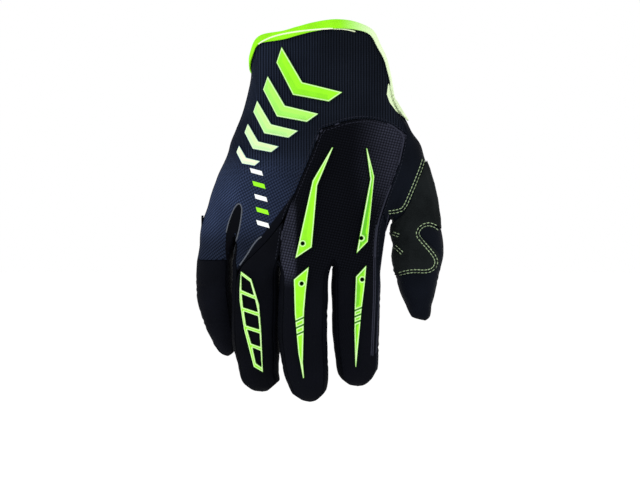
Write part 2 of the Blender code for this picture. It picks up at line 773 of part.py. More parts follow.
def on_finger(name, across, along):
    """A point on a finger's back: across in half widths from its middle, along in finger lengths."""
    number = list(FINGERS).index(name)
    low, high = knuckle_edges()[number]
    first = 1 + 2 * number
    x = PALM_ROWS[CROTCH_ROW].left * palm_width() + (low + high) / 2
    z = -max(COLUMNS[first].crotch, COLUMNS[first + 2].crotch) * HAND_LENGTH
    finger = FINGERS[name]
    return x + across * finger.width / 2, z - along * finger.length


def on_thumb(across, along):
    x = THUMB_ROOT_ACROSS * palm_width() + across * THUMB_WIDTH
    return x, -THUMB_ROOT_DOWN * HAND_LENGTH - along * THUMB_LENGTH


UPPER_BLADES = {
    "middle_upper_blade": (
        ((0.084, 0.443), (-0.003, 0.628), (-0.033, 0.928), (-0.126, 0.984), (-0.031, 0.605),
         (0.077, 0.441)),
        (-0.084, 0.909),
    ),
    "index_upper_blade": (
        ((0.270, 0.445), (0.310, 0.583), (0.275, 0.901), (0.210, 0.960), (0.286, 0.596),
         (0.263, 0.445)),
        (0.238, 0.883),
    ),
}
LOWER_BLADES = {
    "middle_lower_blade": (
        "middle",
        ((0.173, 0.030), (0.045, 0.203), (-0.030, 0.355), (-0.060, 0.560), (-0.085, 0.720),
         (-0.030, 0.835), (-0.090, 0.835), (-0.290, 0.652), (-0.440, 0.370), (-0.480, 0.123)),
        (-0.140, 0.153),
    ),
    "index_lower_blade": (
        "index",
        ((0.420, 0.031), (0.354, 0.177), (0.205, 0.400), (-0.020, 0.860), (-0.070, 0.860),
         (-0.118, 0.567), (-0.105, 0.367), (-0.055, 0.124)),
        (0.227, 0.149),
    ),
}
SLASHES = (0.400, 0.450, 0.500)
SLASH_RISE = 0.055


def add_blades(skin, parts, cutters):
    low, high = SEAT_GAP, SEAT_GAP + RUBBER
    for name, (outline, hole) in UPPER_BLADES.items():
        mesh = seated_shell(skin, "knuckle_panel", low, high, name)
        blade = add_object(name, mesh, parts, "green_rubber")
        shape = prism(name + "_outline", [on_hand(*p) for p in outline], cutters, far=0.02)
        cut(blade, shape, "INTERSECT")
        cut(blade, prism(name + "_hole", disc(on_hand(*hole), RUBBER_HOLE), cutters), "DIFFERENCE")
        finish_cut(blade)
    for name, (finger, outline, hole) in LOWER_BLADES.items():
        mesh = seated_shell(skin, "knuckle_panel", low, high, name)
        blade = add_object(name, mesh, parts, "green_rubber")
        points = [on_finger(finger, *p) for p in outline]
        cut(blade, prism(name + "_outline", points, cutters, far=0.02), "INTERSECT")
        opening = disc(on_finger(finger, *hole), RUBBER_HOLE)
        cut(blade, prism(name + "_hole", opening, cutters), "DIFFERENCE")
        for number, along in enumerate(SLASHES):
            ends = on_finger(finger, -0.8, along + SLASH_RISE), on_finger(finger, 0.6, along - SLASH_RISE)
            slash = slanted_bar(*ends, RUBBER_SLOT)
            cut(blade, groove(f"{name}_slash_{number + 1}", skin, slash, cutters), "DIFFERENCE")
        finish_cut(blade)


LADDER_OUTLINE = ((-0.86, 0.060), (-0.30, 0.130), (0.06, 0.330), (0.16, 0.560), (0.22, 0.860),
                  (-0.22, 0.815), (-0.66, 0.520), (-0.86, 0.300))
LADDER_WINDOWS = (
    ((-0.75, 0.105), (-0.36, 0.155), (-0.20, 0.255), (-0.75, 0.215)),
    ((-0.74, 0.250), (-0.14, 0.290), (-0.02, 0.385), (-0.68, 0.350)),
    ((-0.64, 0.385), (-0.01, 0.420), (0.05, 0.520), (-0.54, 0.490)),
    ((-0.49, 0.525), (0.06, 0.555), (0.09, 0.655), (-0.31, 0.630)),
    ((-0.25, 0.665), (0.10, 0.690), (0.14, 0.815), (-0.10, 0.785)),
)


def add_ladder(skin, parts, cutters):
    """An outlined blade with slanted rungs on the ring finger's back."""
    name = "ring_finger_ladder"
    mesh = seated_shell(skin, "ring_finger_back", SEAT_GAP, SEAT_GAP + LADDER_RUBBER, name)
    ladder = add_object(name, mesh, parts, "green_rubber")
    outline = [on_finger("ring", *p) for p in LADDER_OUTLINE]
    cut(ladder, prism(name + "_outline", outline, cutters, far=0.02), "INTERSECT")
    for number, window in enumerate(LADDER_WINDOWS):
        points = [on_finger("ring", *p) for p in window]
        cut(ladder, prism(f"{name}_window_{number + 1}", points, cutters), "DIFFERENCE")
    finish_cut(ladder)


CHEVRON_AXIS_START = (-0.085, 0.125)
CHEVRON_AXIS_END = (-0.395, 0.490)
CHEVRONS = 5
CHEVRON_SPAN = (0.420, 0.150)
CHEVRON_BAR = (0.088, 0.040)
CHEVRON_SWEEP = 0.42


def chevron_outline(number):
    """A V-shaped bar that points along the row of chevrons, smaller towards the little finger."""
    share = number / (CHEVRONS - 1)
    start, end = Vector(on_hand(*CHEVRON_AXIS_START)), Vector(on_hand(*CHEVRON_AXIS_END))
    eased = share ** 0.85
    centre = start.lerp(end, eased)
    forward = (end - start).normalized()
    side = Vector((-forward.y, forward.x))
    half = mix(*CHEVRON_SPAN, share) * palm_width() / 2
    bar = mix(*CHEVRON_BAR, share) * palm_width()
    sweep = half * CHEVRON_SWEEP
    points = [
        centre + side * half - forward * sweep,
        centre + side * half * 0.86 + forward * (bar - sweep),
        centre + forward * bar,
        centre - side * half * 0.86 + forward * (bar - sweep),
        centre - side * half - forward * sweep,
        centre,
    ]
    return [tuple(p) for p in points]


def add_chevrons(skin, parts, cutters):
    for number in range(CHEVRONS):
        name = f"cuff_chevron_{number + 1}"
        mesh = seated_shell(skin, "back_panel", SEAT_GAP, SEAT_GAP + RUBBER, name)
        finish = "green_rubber" if number < 3 else "pale_rubber"
        chevron = add_object(name, mesh, parts, finish)
        cut(chevron, prism(name + "_outline", chevron_outline(number), cutters, far=0.0),
            "INTERSECT")
        finish_cut(chevron)


TAB_DOWN = 0.800
TAB_BACK = 0.26


def add_side_tab(skin, parts):
    """A small folded tab that stands out of the seam on the little finger's side."""
    bm = bmesh.new()
    bm.from_mesh(skin)
    tree = BVHTree.FromBMesh(bm)
    bm.free()
    start = Vector((-palm_width(), TAB_BACK * PALM_DEPTH, -TAB_DOWN * HAND_LENGTH))
    corners = [Vector((0, TAB_THICKNESS * i, TAB_HEIGHT * j)) / 2
               for i in (-1, 0, 1) for j in (-1, 0, 1)]
    hits = [tree.ray_cast(start + corner, Vector((1, 0, 0)))[0] for corner in corners]
    seat = start.copy()
    seat.x = min(hit.x for hit in hits) - LEATHER_STEP - TAB_SEAT - TAB_STAND / 2
    size = (TAB_STAND, TAB_THICKNESS, TAB_HEIGHT)
    tab = bmesh.new()
    bmesh.ops.create_cube(tab, size=1.0)
    bmesh.ops.scale(tab, vec=size, verts=tab.verts[:])
    upright = [e for e in tab.edges if abs(e.verts[0].co.y - e.verts[1].co.y) > TAB_THICKNESS / 2
               and e.verts[0].co.x < 0]
    bmesh.ops.bevel(tab, geom=upright, offset=TAB_STAND * 0.4, segments=3, profile=0.5,
                    affect="EDGES")
    bmesh.ops.translate(tab, vec=seat, verts=tab.verts[:])
    add_object("side_tab", to_mesh(tab, "side_tab"), parts, "black_stretch")


LEATHER_EDGE = (
    (0.62, -0.03), (0.26, 0.03), (0.08, 0.16), (-0.10, 0.30), (-0.22, 0.345), (-0.47, 0.365),
    (-0.53, 0.45), (-0.62, 0.70), (-0.40, 0.745), (-0.10, 0.730), (0.20, 0.718), (0.36, 0.700),
    (0.44, 0.655), (0.38, 0.600), (0.24, 0.565), (0.10, 0.530), (0.03, 0.490), (0.07, 0.458),
    (0.22, 0.440), (0.42, 0.446), (0.62, 0.480), (0.90, 0.480), (0.90, -0.03),
)


def add_thumb_leather(skin, parts, cutters):
    low, high = SEAT_GAP, SEAT_GAP + 0.001
    mesh = seated_shell(skin, "thumb_back", low, high, "thumb_leather")
    leather = add_object("thumb_leather", mesh, parts, "black_leather")
    outline = [on_thumb(*p) for p in LEATHER_EDGE]
    cut(leather, prism("thumb_leather_outline", outline, cutters), "INTERSECT")
    finish_cut(leather)


def main():
    clear_scene()
    parts = new_collection("full_finger_glove")
    guides = new_collection("guides_and_cutters")
    skin = build_skin(guides)
    add_panels(skin, parts)
    add_binding(skin, parts)
    add_blades(skin, parts, guides)
    add_chevrons(skin, parts, guides)
    add_ladder(skin, parts, guides)
    add_side_tab(skin, parts)
    add_thumb_leather(skin, parts, guides)
    bpy.context.view_layer.update()


main()
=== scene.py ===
"""Dresses the full finger glove: its cloth, leather, rubber, stitches and binding, and its stage."""

import json
import math

import bmesh
import bpy
from bpy.props import FloatProperty, FloatVectorProperty, IntProperty, PointerProperty
from mathutils import Matrix, Vector, noise
from mathutils.bvhtree import BVHTree

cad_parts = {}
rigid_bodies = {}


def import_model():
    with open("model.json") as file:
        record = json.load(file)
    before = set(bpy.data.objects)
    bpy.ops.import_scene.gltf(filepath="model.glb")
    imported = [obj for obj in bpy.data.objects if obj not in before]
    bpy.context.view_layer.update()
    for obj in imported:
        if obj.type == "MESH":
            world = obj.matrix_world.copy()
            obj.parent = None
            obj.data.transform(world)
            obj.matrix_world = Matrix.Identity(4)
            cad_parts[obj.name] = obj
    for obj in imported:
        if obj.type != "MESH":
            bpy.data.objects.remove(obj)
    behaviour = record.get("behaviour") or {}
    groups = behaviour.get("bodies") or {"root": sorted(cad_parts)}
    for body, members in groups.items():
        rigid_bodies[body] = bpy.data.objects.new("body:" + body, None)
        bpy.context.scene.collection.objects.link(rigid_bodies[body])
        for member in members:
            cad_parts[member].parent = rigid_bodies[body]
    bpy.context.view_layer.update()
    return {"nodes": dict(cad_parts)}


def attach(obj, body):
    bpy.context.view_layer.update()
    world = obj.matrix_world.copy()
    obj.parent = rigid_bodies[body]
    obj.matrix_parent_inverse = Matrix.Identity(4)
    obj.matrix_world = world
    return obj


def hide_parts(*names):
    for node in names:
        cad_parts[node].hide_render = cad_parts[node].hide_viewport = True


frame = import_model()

bl_info = {
    "name": "Full Finger Glove",
    "version": (1, 0, 0),
    "blender": (4, 5, 0),
    "location": "View3D > Sidebar > Glove",
    "description": "Builds the cloth, leather and rubber of a full finger riding glove",
    "category": "Add Mesh",
}

# One unit of the front drawing, whose x runs right and y runs down, and the wrist's place on it
UNIT = 0.00063
WRIST_AT = (318.0, 58.0)
BODY = "root"

PANELS = {
    "back_panel": ("navy_mesh", "back_knit"),
    "knuckle_panel": ("charcoal_mesh", "knuckle_knit"),
    "ring_finger_back": ("black_stretch", "smooth_stretch"),
    "little_finger_back": ("black_stretch", "little_stretch"),
    "thumb_back": ("navy_stretch", "navy_stretch"),
    "palm_panel": ("black_leather", "palm_suede"),
    "fourchette_little_ring": ("black_stretch", "smooth_stretch"),
    "fourchette_ring_middle": ("black_stretch", "smooth_stretch"),
    "fourchette_middle_index": ("black_stretch", "smooth_stretch"),
    "index_side": ("navy_stretch", "navy_stretch"),
}
# Each blade, and how strongly painted shade darkens its left slope
BLADES = (("middle_upper_blade", 0.20), ("middle_lower_blade", 0.10),
          ("index_upper_blade", 0.95), ("index_lower_blade", 0.70))
CHEVRONS = tuple(f"cuff_chevron_{number}" for number in range(1, 6))

# Finger axes for the joint folds: x at the base and the tip, depth at both, and the folds' heights
FINGER_FOLDS = (
    ((-0.0640, -0.0600), (0.0130, 0.0260), (-0.1440, -0.1660)),
    ((-0.0385, -0.0360), (0.0040, 0.0130), (-0.1560, -0.1830)),
    ((-0.0090, -0.0060), (-0.0040, 0.0040), (-0.1600, -0.1890)),
    ((0.0240, 0.0255), (0.0000, 0.0090), (-0.1560, -0.1820)),
)
THUMB_FOLDS = ((0.0610, 0.0640), (0.0140, 0.0180), (-0.1120, -0.1360))
# Seed of the folds' noise, which would otherwise come from the clock
FOLD_SEED = 11
# How far in depth a plate's point may lie from the plate's usual depth, in metres
PLATE_REACH = 0.012

# Soft pulls that fit the cloth's outline, on the front drawing: x, y, reach, right and down
OUTLINE_PULLS = (
    (222, 157, 16, 3.6, 0.0), (212, 182, 16, 3.2, 0.0), (205, 206, 16, 3.0, 0.0),
    (266, 40, 14, -5.0, -4.0), (253, 58, 12, -2.0, 0.0),
    (366, 38, 14, 5.0, -3.0), (378, 60, 14, 4.0, 0.0), (387, 80, 10, 1.5, 0.0),
    (405, 124, 13, 4.0, -1.0), (415, 144, 13, 3.0, -1.0),
    (392, 212, 15, -1.5, 12.0), (264, 52, 9, -3.0, -3.0),
)
# Each finger's span, and rows of y, left edge, right edge, fitted left, fitted right and down
FINGER_ROWS = (
    ((0, 237), (
        (246, 200, 237, 200, 237, 0), (262, 199, 237, 196.5, 232.2, 0),
        (286, 200, 237, 197, 232, 0), (306, 203, 237, 199, 232, 0),
        (326, 210, 237, 206, 232.5, 0), (340, 217, 237, 213, 232.5, 0.5),
        (349, 225, 236, 220.5, 231.5, 2), (351, 228, 234, 223, 230.5, 2.5))),
    ((237, 280.7), (
        (246, 237, 280, 237, 280, 0), (262, 237, 280, 232.2, 280, 0),
        (300, 237, 279, 232, 279, 0), (330, 237.5, 278, 232.8, 278.5, 0),
        (352, 239, 276, 235, 278, 0), (365, 241, 276, 238, 277, 0),
        (374, 245, 275, 240, 277, 0), (381, 251, 271, 243.7, 276.5, 1),
        (384, 255, 269, 247, 272.5, 1.5), (387, 260, 264, 253.5, 266, 2.5))),
    ((280.7, 331.5), (
        (268, 283, 330, 283, 330, 0), (296, 282, 326, 279.5, 327, 0),
        (336, 283, 326, 279, 326.5, 0), (355, 285, 325, 281, 326.5, 0),
        (374, 290, 325, 285, 327, 0), (384, 294, 324, 289.5, 326.5, 0.5),
        (389, 297, 321, 291.5, 324.5, 1), (393, 301, 318, 294.5, 321.5, 1.5),
        (397, 306, 313, 302, 315.5, 2.5))),
    ((331.5, 386), (
        (268, 334, 380, 333, 380, 0), (286, 334, 378, 331, 379.5, 0),
        (316, 335, 376, 332, 378, 0), (336, 336, 375, 333, 377.5, 0),
        (349, 338, 374, 335, 377, 0), (360, 339, 373, 336, 376.5, 0),
        (370, 342, 370, 337.5, 375, 0.3), (374, 345, 368, 339.5, 372.5, 1),
        (378, 349, 364, 343.5, 368.5, 2), (381, 354, 359, 350, 362.5, 3))),
    ((386, 640), (
        (229, 391, 440, 390, 441, 0), (246, 390, 438, 392.5, 441.5, 0),
        (256, 391, 438, 391.5, 442, 0), (266, 393, 436, 393.5, 439, 0),
        (286, 398, 433, 397.5, 435, 0), (306, 409, 428, 407, 430, 0),
        (316, 418, 422, 414, 427, 2))),
)

# Lines on the front drawing
WEDGE = ((239.4, 203.3), (232.5, 212), (228.4, 222.6), (226, 232), (225, 248), (226, 262),
         (229, 262), (237.9, 235), (240.2, 225), (242.2, 209.4))
NOTCH_FLARE = ((388, 84), (392, 87), (397, 100), (403, 116), (396, 111), (389.5, 103), (386.5, 95))
RIM_PIPING = ((258, 45.5), (262, 42.5), (275, 37), (300, 33), (330, 30.6), (345, 30.8), (356, 33.5))
WEDGE_PIPING = (
    ((226, 233), (228.4, 222.6), (232.5, 212), (236, 205.5), (239.4, 203.3), (241.6, 206),
     (242.2, 211), (240.2, 225), (237.9, 235), (234.2, 246.7), (232.8, 254)),
    ((262.3, 236.3), (257, 240), (252, 246.7), (246.8, 255.3), (239.4, 265.6)),
)
WEB_SEAM = ((424, 159), (421, 168), (415.5, 182), (409.5, 196), (404, 209), (396, 211.5), (386.5, 212.5))
THUMB_SEAM = (
    (440, 229), (435, 225.5), (429.4, 223.9), (424, 225), (419.5, 228.6), (417.2, 234.3),
    (422.4, 241.4), (429.4, 249), (435.8, 257), (437.6, 263), (434.5, 269.2), (427.4, 272),
    (415.3, 271), (405.4, 272.4), (396.5, 275.5),
)
PALM_SEAMS = (
    ((258, 150), (275, 158), (300, 163), (330, 163), (360, 156), (384, 142)),
    ((212, 222), (228, 226), (255, 224), (290, 219), (330, 218), (368, 218)),
    ((372, 210), (366, 190), (362, 172), (364, 156)),
)
WEB_TACKS = (((393, 233), (401, 236)), ((395, 246), (402, 252.5)))
DASHES = (
    ((250, 168), 0), ((252.5, 181), 1), ((254.5, 194), 0), ((256.0, 207), 1), ((256.5, 220), 0),
)


# Sizes and colours

class GloveSizes(bpy.types.PropertyGroup):
    """Sizes that a user may change."""
    rib_pitch: FloatProperty(name="Rib pitch", description="Distance between the knit's ribs",
                             default=0.0017, unit="LENGTH")
    knit_pitch: FloatProperty(name="Knit pitch", description="Distance between the knit's rows",
                              default=0.0012, unit="LENGTH")
    fold_depth: FloatProperty(name="Fold depth", description="Depth of the cloth's soft folds",
                              default=0.0005, unit="LENGTH")
    joint_depth: FloatProperty(name="Joint fold depth",
                               description="Depth of the folds at the finger joints",
                               default=0.0006, unit="LENGTH")
    rubber_voxel: FloatProperty(name="Rubber voxel", description="Grid on which the rubber is rounded",
                                default=0.00036, unit="LENGTH")
    rubber_ridge: FloatProperty(name="Rubber ridge", description="Height of the ridge along each blade",
                                default=0.0011, unit="LENGTH")
    stitch_length: FloatProperty(name="Stitch length", description="Length of one stitch",
                                 default=0.0017, unit="LENGTH")
    stitch_pitch: FloatProperty(name="Stitch pitch", description="Distance from one stitch to the next",
                                default=0.0023, unit="LENGTH")
    stitch_radius: FloatProperty(name="Stitch radius", description="Half the thread's thickness",
                                 default=0.00030, unit="LENGTH")
    row_gap: FloatProperty(name="Row gap", description="Distance between the two rows of a double seam",
                           default=0.0018, unit="LENGTH")
    ridge_radius: FloatProperty(name="Seam ridge radius", description="Half the raised seam's thickness",
                                default=0.00060, unit="LENGTH")
    panel_levels: IntProperty(name="Panel levels", description="Subdivisions of each sewn panel",
                              default=2, min=0, max=3, subtype="UNSIGNED")


class GloveColours(bpy.types.PropertyGroup):
    """Colours that a user may change."""
    navy: FloatVectorProperty(name="Navy", description="Knit of the back", subtype="COLOR",
                              default=(0.0270, 0.0400, 0.0860), min=0, max=1)
    wrist: FloatVectorProperty(name="Wrist navy", description="Darker knit of the cuff", subtype="COLOR",
                               default=(0.0068, 0.0090, 0.0150), min=0, max=1)
    charcoal: FloatVectorProperty(name="Charcoal", description="Knit over the knuckles", subtype="COLOR",
                                  default=(0.0210, 0.0225, 0.0350), min=0, max=1)
    black: FloatVectorProperty(name="Black", description="Smooth stretch cloth", subtype="COLOR",
                               default=(0.0026, 0.0030, 0.0050), min=0, max=1)
    slate: FloatVectorProperty(name="Slate", description="Smooth cloth of the thumb", subtype="COLOR",
                               default=(0.0042, 0.0056, 0.0095), min=0, max=1)
    suede: FloatVectorProperty(name="Suede", description="Leather of the palm and thumb", subtype="COLOR",
                               default=(0.0052, 0.0064, 0.0068), min=0, max=1)
    green: FloatVectorProperty(name="Green", description="Moulded rubber", subtype="COLOR",
                               default=(0.270, 0.790, 0.012), min=0, max=1)
    # Also paints the highlight along the rubber's rim.
    pale: FloatVectorProperty(name="Pale green", description="Lighter rubber and tape", subtype="COLOR",
                              default=(0.760, 0.930, 0.560), min=0, max=1)
    thread: FloatVectorProperty(name="Thread", description="Contrast stitches", subtype="COLOR",
                                default=(0.300, 0.400, 0.230), min=0, max=1)


def sizes():
    return bpy.context.scene.glove_sizes


def colours():
    return bpy.context.scene.glove_colours


# Shader maths

class Value:
    """A number that varies over a surface. Arithmetic on it adds Math nodes."""

    def __init__(self, paint, socket):
        self.paint = paint
        self.socket = socket

    def __add__(self, other):
        return self.paint.maths("ADD", self, other)

    __radd__ = __add__

    def __sub__(self, other):
        return self.paint.maths("SUBTRACT", self, other)

    def __rsub__(self, other):
        return self.paint.maths("SUBTRACT", other, self)

    def __mul__(self, other):
        return self.paint.maths("MULTIPLY", self, other)

    __rmul__ = __mul__

    def __truediv__(self, other):
        return self.paint.maths("DIVIDE", self, other)

    def __pow__(self, other):
        return self.paint.maths("POWER", self, other)

    def __abs__(self):
        return self.paint.maths("ABSOLUTE", self)

    def sine(self):
        return self.paint.maths("SINE", self)

    def step(self, low, high):
        """0 below low, 1 above high, and smooth between them."""
        node = self.paint.node("ShaderNodeMapRange", {"interpolation_type": "SMOOTHSTEP"},
                               {"Value": self, "From Min": low, "From Max": high})
        return Value(self.paint, node.outputs[0])


class Paint:
    """One material under construction."""

    def __init__(self, name, roughness, sheen=0.0, coat=0.0, specular=0.5):
        self.material = bpy.data.materials.new(name)
        self.material.use_nodes = True
        self.tree = self.material.node_tree
        self.shader = self.tree.nodes["Principled BSDF"]
        self.shader.inputs["Roughness"].default_value = roughness
        self.shader.inputs["Sheen Weight"].default_value = sheen
        self.shader.inputs["Sheen Roughness"].default_value = 0.45
        self.shader.inputs["Coat Weight"].default_value = coat
        self.shader.inputs["Specular IOR Level"].default_value = specular

    def node(self, kind, settings=None, sockets=None):
        made = self.tree.nodes.new(kind)
        for key, value in (settings or {}).items():
            setattr(made, key, value)
        for key, value in (sockets or {}).items():
            self.plug(made.inputs[key], value)
        return made

    def plug(self, socket, value):
        if isinstance(value, Value):
            value = value.socket
        if isinstance(value, bpy.types.NodeSocket):
            self.tree.links.new(value, socket)
        else:
            socket.default_value = value

    def maths(self, operation, *values):
        node = self.node("ShaderNodeMath", {"operation": operation}, dict(enumerate(values)))
        return Value(self, node.outputs[0])

    def place(self):
        """The three object coordinates, in metres."""
        coordinate = self.node("ShaderNodeTexCoord")
        parts = self.node("ShaderNodeSeparateXYZ", None, {0: coordinate.outputs["Object"]})
        return [Value(self, socket) for socket in parts.outputs]

    def attribute(self, name):
        found = self.node("ShaderNodeAttribute", {"attribute_name": name})
        return Value(self, found.outputs["Fac"])

    def cloud(self, scale, detail=2.0, roughness=0.5):
        coordinate = self.node("ShaderNodeTexCoord")
        found = self.node("ShaderNodeTexNoise", None, {
            "Vector": coordinate.outputs["Object"], "Scale": scale, "Detail": detail,
            "Roughness": roughness})
        return Value(self, found.outputs[0])

    def cells(self, scale):
        coordinate = self.node("ShaderNodeTexCoord")
        found = self.node("ShaderNodeTexVoronoi", {"feature": "F1"}, {
            "Vector": coordinate.outputs["Object"], "Scale": scale})
        return Value(self, found.outputs["Distance"])

    def blend(self, share, first, second):
        """A colour between two colours."""
        mixed = self.node("ShaderNodeMix", {"data_type": "RGBA"}, {0: share, 6: first, 7: second})
        return mixed.outputs[2]

    def colour(self, value):
        self.plug(self.shader.inputs["Base Color"], value)

    def roughness(self, value):
        self.plug(self.shader.inputs["Roughness"], value)

    def bump(self, height, distance, strength=1.0):
        node = self.node("ShaderNodeBump", None, {
            "Height": height, "Distance": distance, "Strength": strength})
        self.plug(self.shader.inputs["Normal"], node.outputs[0])


def rgba(colour, times=1.0):
    return tuple(min(1.0, part * times) for part in colour) + (1.0,)


def across(paint, x, y):
    """Runs round the hand: along x over its back, and along y where the cloth turns the sides."""
    turn = x.step(-0.012, 0.012) * 2 - 1
    return x + paint.maths("MAXIMUM", y + 0.008, 0) * turn


def back_knit():
    """Ribbed navy mesh, with upright ribs on the cuff and finer slanted rows on the hand. Its colour
    carries painted light: a sheen towards the left, painted shade in the knit's hollows and below the
    knuckles, and a near-black painted shadow beside the ring finger.
    """
    paint = Paint("back_knit", 0.75, specular=0.02)
    x, y, z = paint.place()
    u = across(paint, x, y)
    rib, row = sizes().rib_pitch, sizes().knit_pitch
    wobble = paint.cloud(90) * 0.0006
    ribs = abs(((u + wobble) * (math.pi / rib)).sine())
    rungs = abs((z * (math.pi / row)).sine())
    cuff = ribs * 0.7 + ribs * rungs * 0.3
    rows = abs(((z - u * 0.55 + wobble) * (math.pi / (row * 1.70))).sine())
    knots = abs(((u + z * 0.45 + wobble) * (math.pi / (row * 1.45))).sine())
    hand = (rows * (knots * 0.85 + 0.15)) ** 0.7
    lower = (z * -1).step(0.055, 0.085)
    height = cuff * (1 - lower) + hand * lower
    patches = paint.cloud(35, 3).step(0.3, 0.7)
    navy, wrist = colours().navy, colours().wrist
    # Share of the lit navy: a painted sheen that brightens the knit towards the left, weaker on the cuff,
    # and painted shade that darkens it below the knuckles.
    left = (x * -1).step(-0.020, 0.056) * (lower * 0.8 + 0.2)
    left = left * (1 - (z * -1).step(0.100, 0.120) * 0.75)
    # Painted shade and painted light: a shaded copy of the navy for the knit's hollows and a lit copy for
    # its threads, with random darker patches.
    shaded = paint.blend(left, rgba(wrist, 0.30), rgba(navy, 0.30))
    lit = paint.blend(left, rgba(wrist, 1.3), rgba(navy, 1.45))
    lit_and_worn = paint.blend(patches * 0.45, lit, shaded)
    knit = paint.blend(height.step(0.15, 0.85), shaded, lit_and_worn)
    # Painted shadow: near black beyond the curved line by the ring finger, where the knit's relief is
    # also mostly flattened.
    beyond = (x + 0.03528) * 0.794 - (z + 0.11214) * 0.608
    smooth = beyond.step(-0.0004, 0.0004) * (1 - x.step(-0.015, -0.010))
    paint.colour(paint.blend(smooth, knit, rgba(colours().black)))
    height = height * (1 - smooth * 0.9)
    paint.roughness(0.78 - height * 0.14)
    paint.bump(height, 0.00055, 1.0)
    return paint.material


def knuckle_knit():
    """Fine charcoal mesh: rows of small open loops. Its colour carries painted light: painted shade in
    the hollows and a painted highlight along a band down the middle finger's left shoulder.
    """
    paint = Paint("knuckle_knit", 0.75, specular=0.02)
    x, y, z = paint.place()
    u = across(paint, x, y)
    pitch = sizes().knit_pitch * 1.45
    wobble = paint.cloud(110) * 0.0004
    columns = abs(((u - z * 0.30 + wobble) * (math.pi / pitch)).sine())
    rows = abs(((u * 0.20 + z + wobble) * (math.pi / pitch)).sine())
    height = (columns * rows) ** 0.6
    fingers = (z * -1).step(0.128, 0.150)
    fine = abs((u * (math.pi / (pitch * 0.5))).sine()) * 0.3 + 0.5
    # A painted highlight: a lit band down the middle finger's left shoulder, where the coarse loops also
    # run on.
    lit_band = (x + 0.0245).step(0.0, 0.003) * (1 - (x + 0.0155).step(0.0, 0.003)) \
        * (z * -1).step(0.088, 0.098) * (1 - (z * -1).step(0.132, 0.146))
    fingers = fingers * (1 - lit_band)
    height = height * (1 - fingers) + fine * fingers
    patches = paint.cloud(30, 3).step(0.3, 0.7)
    charcoal, black = colours().charcoal, colours().black
    # Share of charcoal: on the upper right of the panel, and as a painted highlight on the lit band; near
    # black elsewhere.
    shoulder = x.step(0.020, 0.050) * (1 - (z * -1).step(0.070, 0.105))
    bright = paint.maths("MAXIMUM", shoulder, lit_band)
    # Painted shade and painted light: a shaded copy for the knit's hollows and a lit copy for its loops,
    # with random darker patches.
    shaded = paint.blend(bright, rgba(black, 0.5), rgba(charcoal, 0.25))
    lit = paint.blend(bright, rgba(black, 1.35), rgba(charcoal, 1.7))
    lit_and_worn = paint.blend(patches * 0.4, lit, shaded)
    paint.colour(paint.blend(height.step(0.1, 0.9), shaded, lit_and_worn))
    paint.roughness(0.76 - height * 0.12)
    paint.bump(height, 0.0005, 1.0)
    return paint.material


def stretch(name, colour, roughness=0.65, sheen=0.0):
    """Smooth stretch cloth with a very fine twill."""
    paint = Paint(name, roughness, sheen=sheen, specular=0.02)
    x, y, z = paint.place()
    u = across(paint, x, y)
    twill = abs(((u + z * 0.8) * (math.pi / 0.0007)).sine())
    patches = paint.cloud(40, 3).step(0.3, 0.7)
    soft = paint.blend(patches, rgba(colour, 0.75), rgba(colour, 1.25))
    paint.colour(paint.blend(twill * 0.5, soft, rgba(colour, 0.5)))
    paint.roughness(roughness - 0.04 + patches * 0.08)
    paint.bump(twill, 0.00012, 0.7)
    return paint.material


def smooth_stretch():
    return stretch("smooth_stretch", colours().black)


def little_stretch():
    return stretch("little_stretch", [part * 1.35 for part in colours().black])


def navy_stretch():
    return stretch("navy_stretch", colours().slate, 0.60)


def suede(name, colour):
    """Brushed synthetic leather: a short nap, fine grain and slightly polished patches."""
    paint = Paint(name, 0.85, specular=0.02)
    nap = paint.cloud(2600, 2, 0.7)
    grain = paint.cells(900)
    patches = paint.cloud(55, 4).step(0.35, 0.65)
    tone = paint.blend(patches, rgba(colour, 0.65), rgba(colour, 1.35))
    paint.colour(paint.blend(nap.step(0.35, 0.75), tone, rgba(colour, 1.7)))
    paint.roughness(0.88 - patches * 0.12)
    paint.bump(nap * 0.6 + grain * 0.4, 0.00022, 0.8)
    return paint.material


def palm_suede():
    return suede("palm_suede", colours().suede)


def thumb_suede():
    return suede("thumb_suede", [part * 1.1 for part in colours().suede])


def moulded_rubber(name, colour, left_shade=0.25):
    """Glossy moulded rubber, with a painted highlight along its rim, painted shade on its left slope and
    painted shade at its foot and in its grooves.
    """
    paint = Paint(name, 0.36, specular=0.16)
    patches = paint.cloud(120, 2).step(0.3, 0.7)
    pores = paint.cloud(1800, 2)
    low = paint.attribute("low")
    top = paint.blend(patches, rgba(colour, 0.94), rgba(colour, 1.04))
    # Painted shade: a darker green for the left slope.
    slope = (colour[0] * 0.33, colour[1] * 0.58, colour[2] * 0.9)
    slope_shaded = paint.blend(paint.attribute("slope") * left_shade, top, rgba(slope))
    # A painted highlight: pale along the rim.
    rim_lit = paint.blend(paint.attribute("rim") * 0.8, slope_shaded, rgba(colours().pale))
    # Painted shade: dark green at the foot, along the outer edge and in the grooves.
    paint.colour(paint.blend(low, rim_lit, rgba((colour[0] * 0.10, colour[1] * 0.20, colour[2]))))
    paint.roughness(0.30 + patches * 0.10)
    paint.bump(pores, 0.00005, 0.5)
    return paint.material


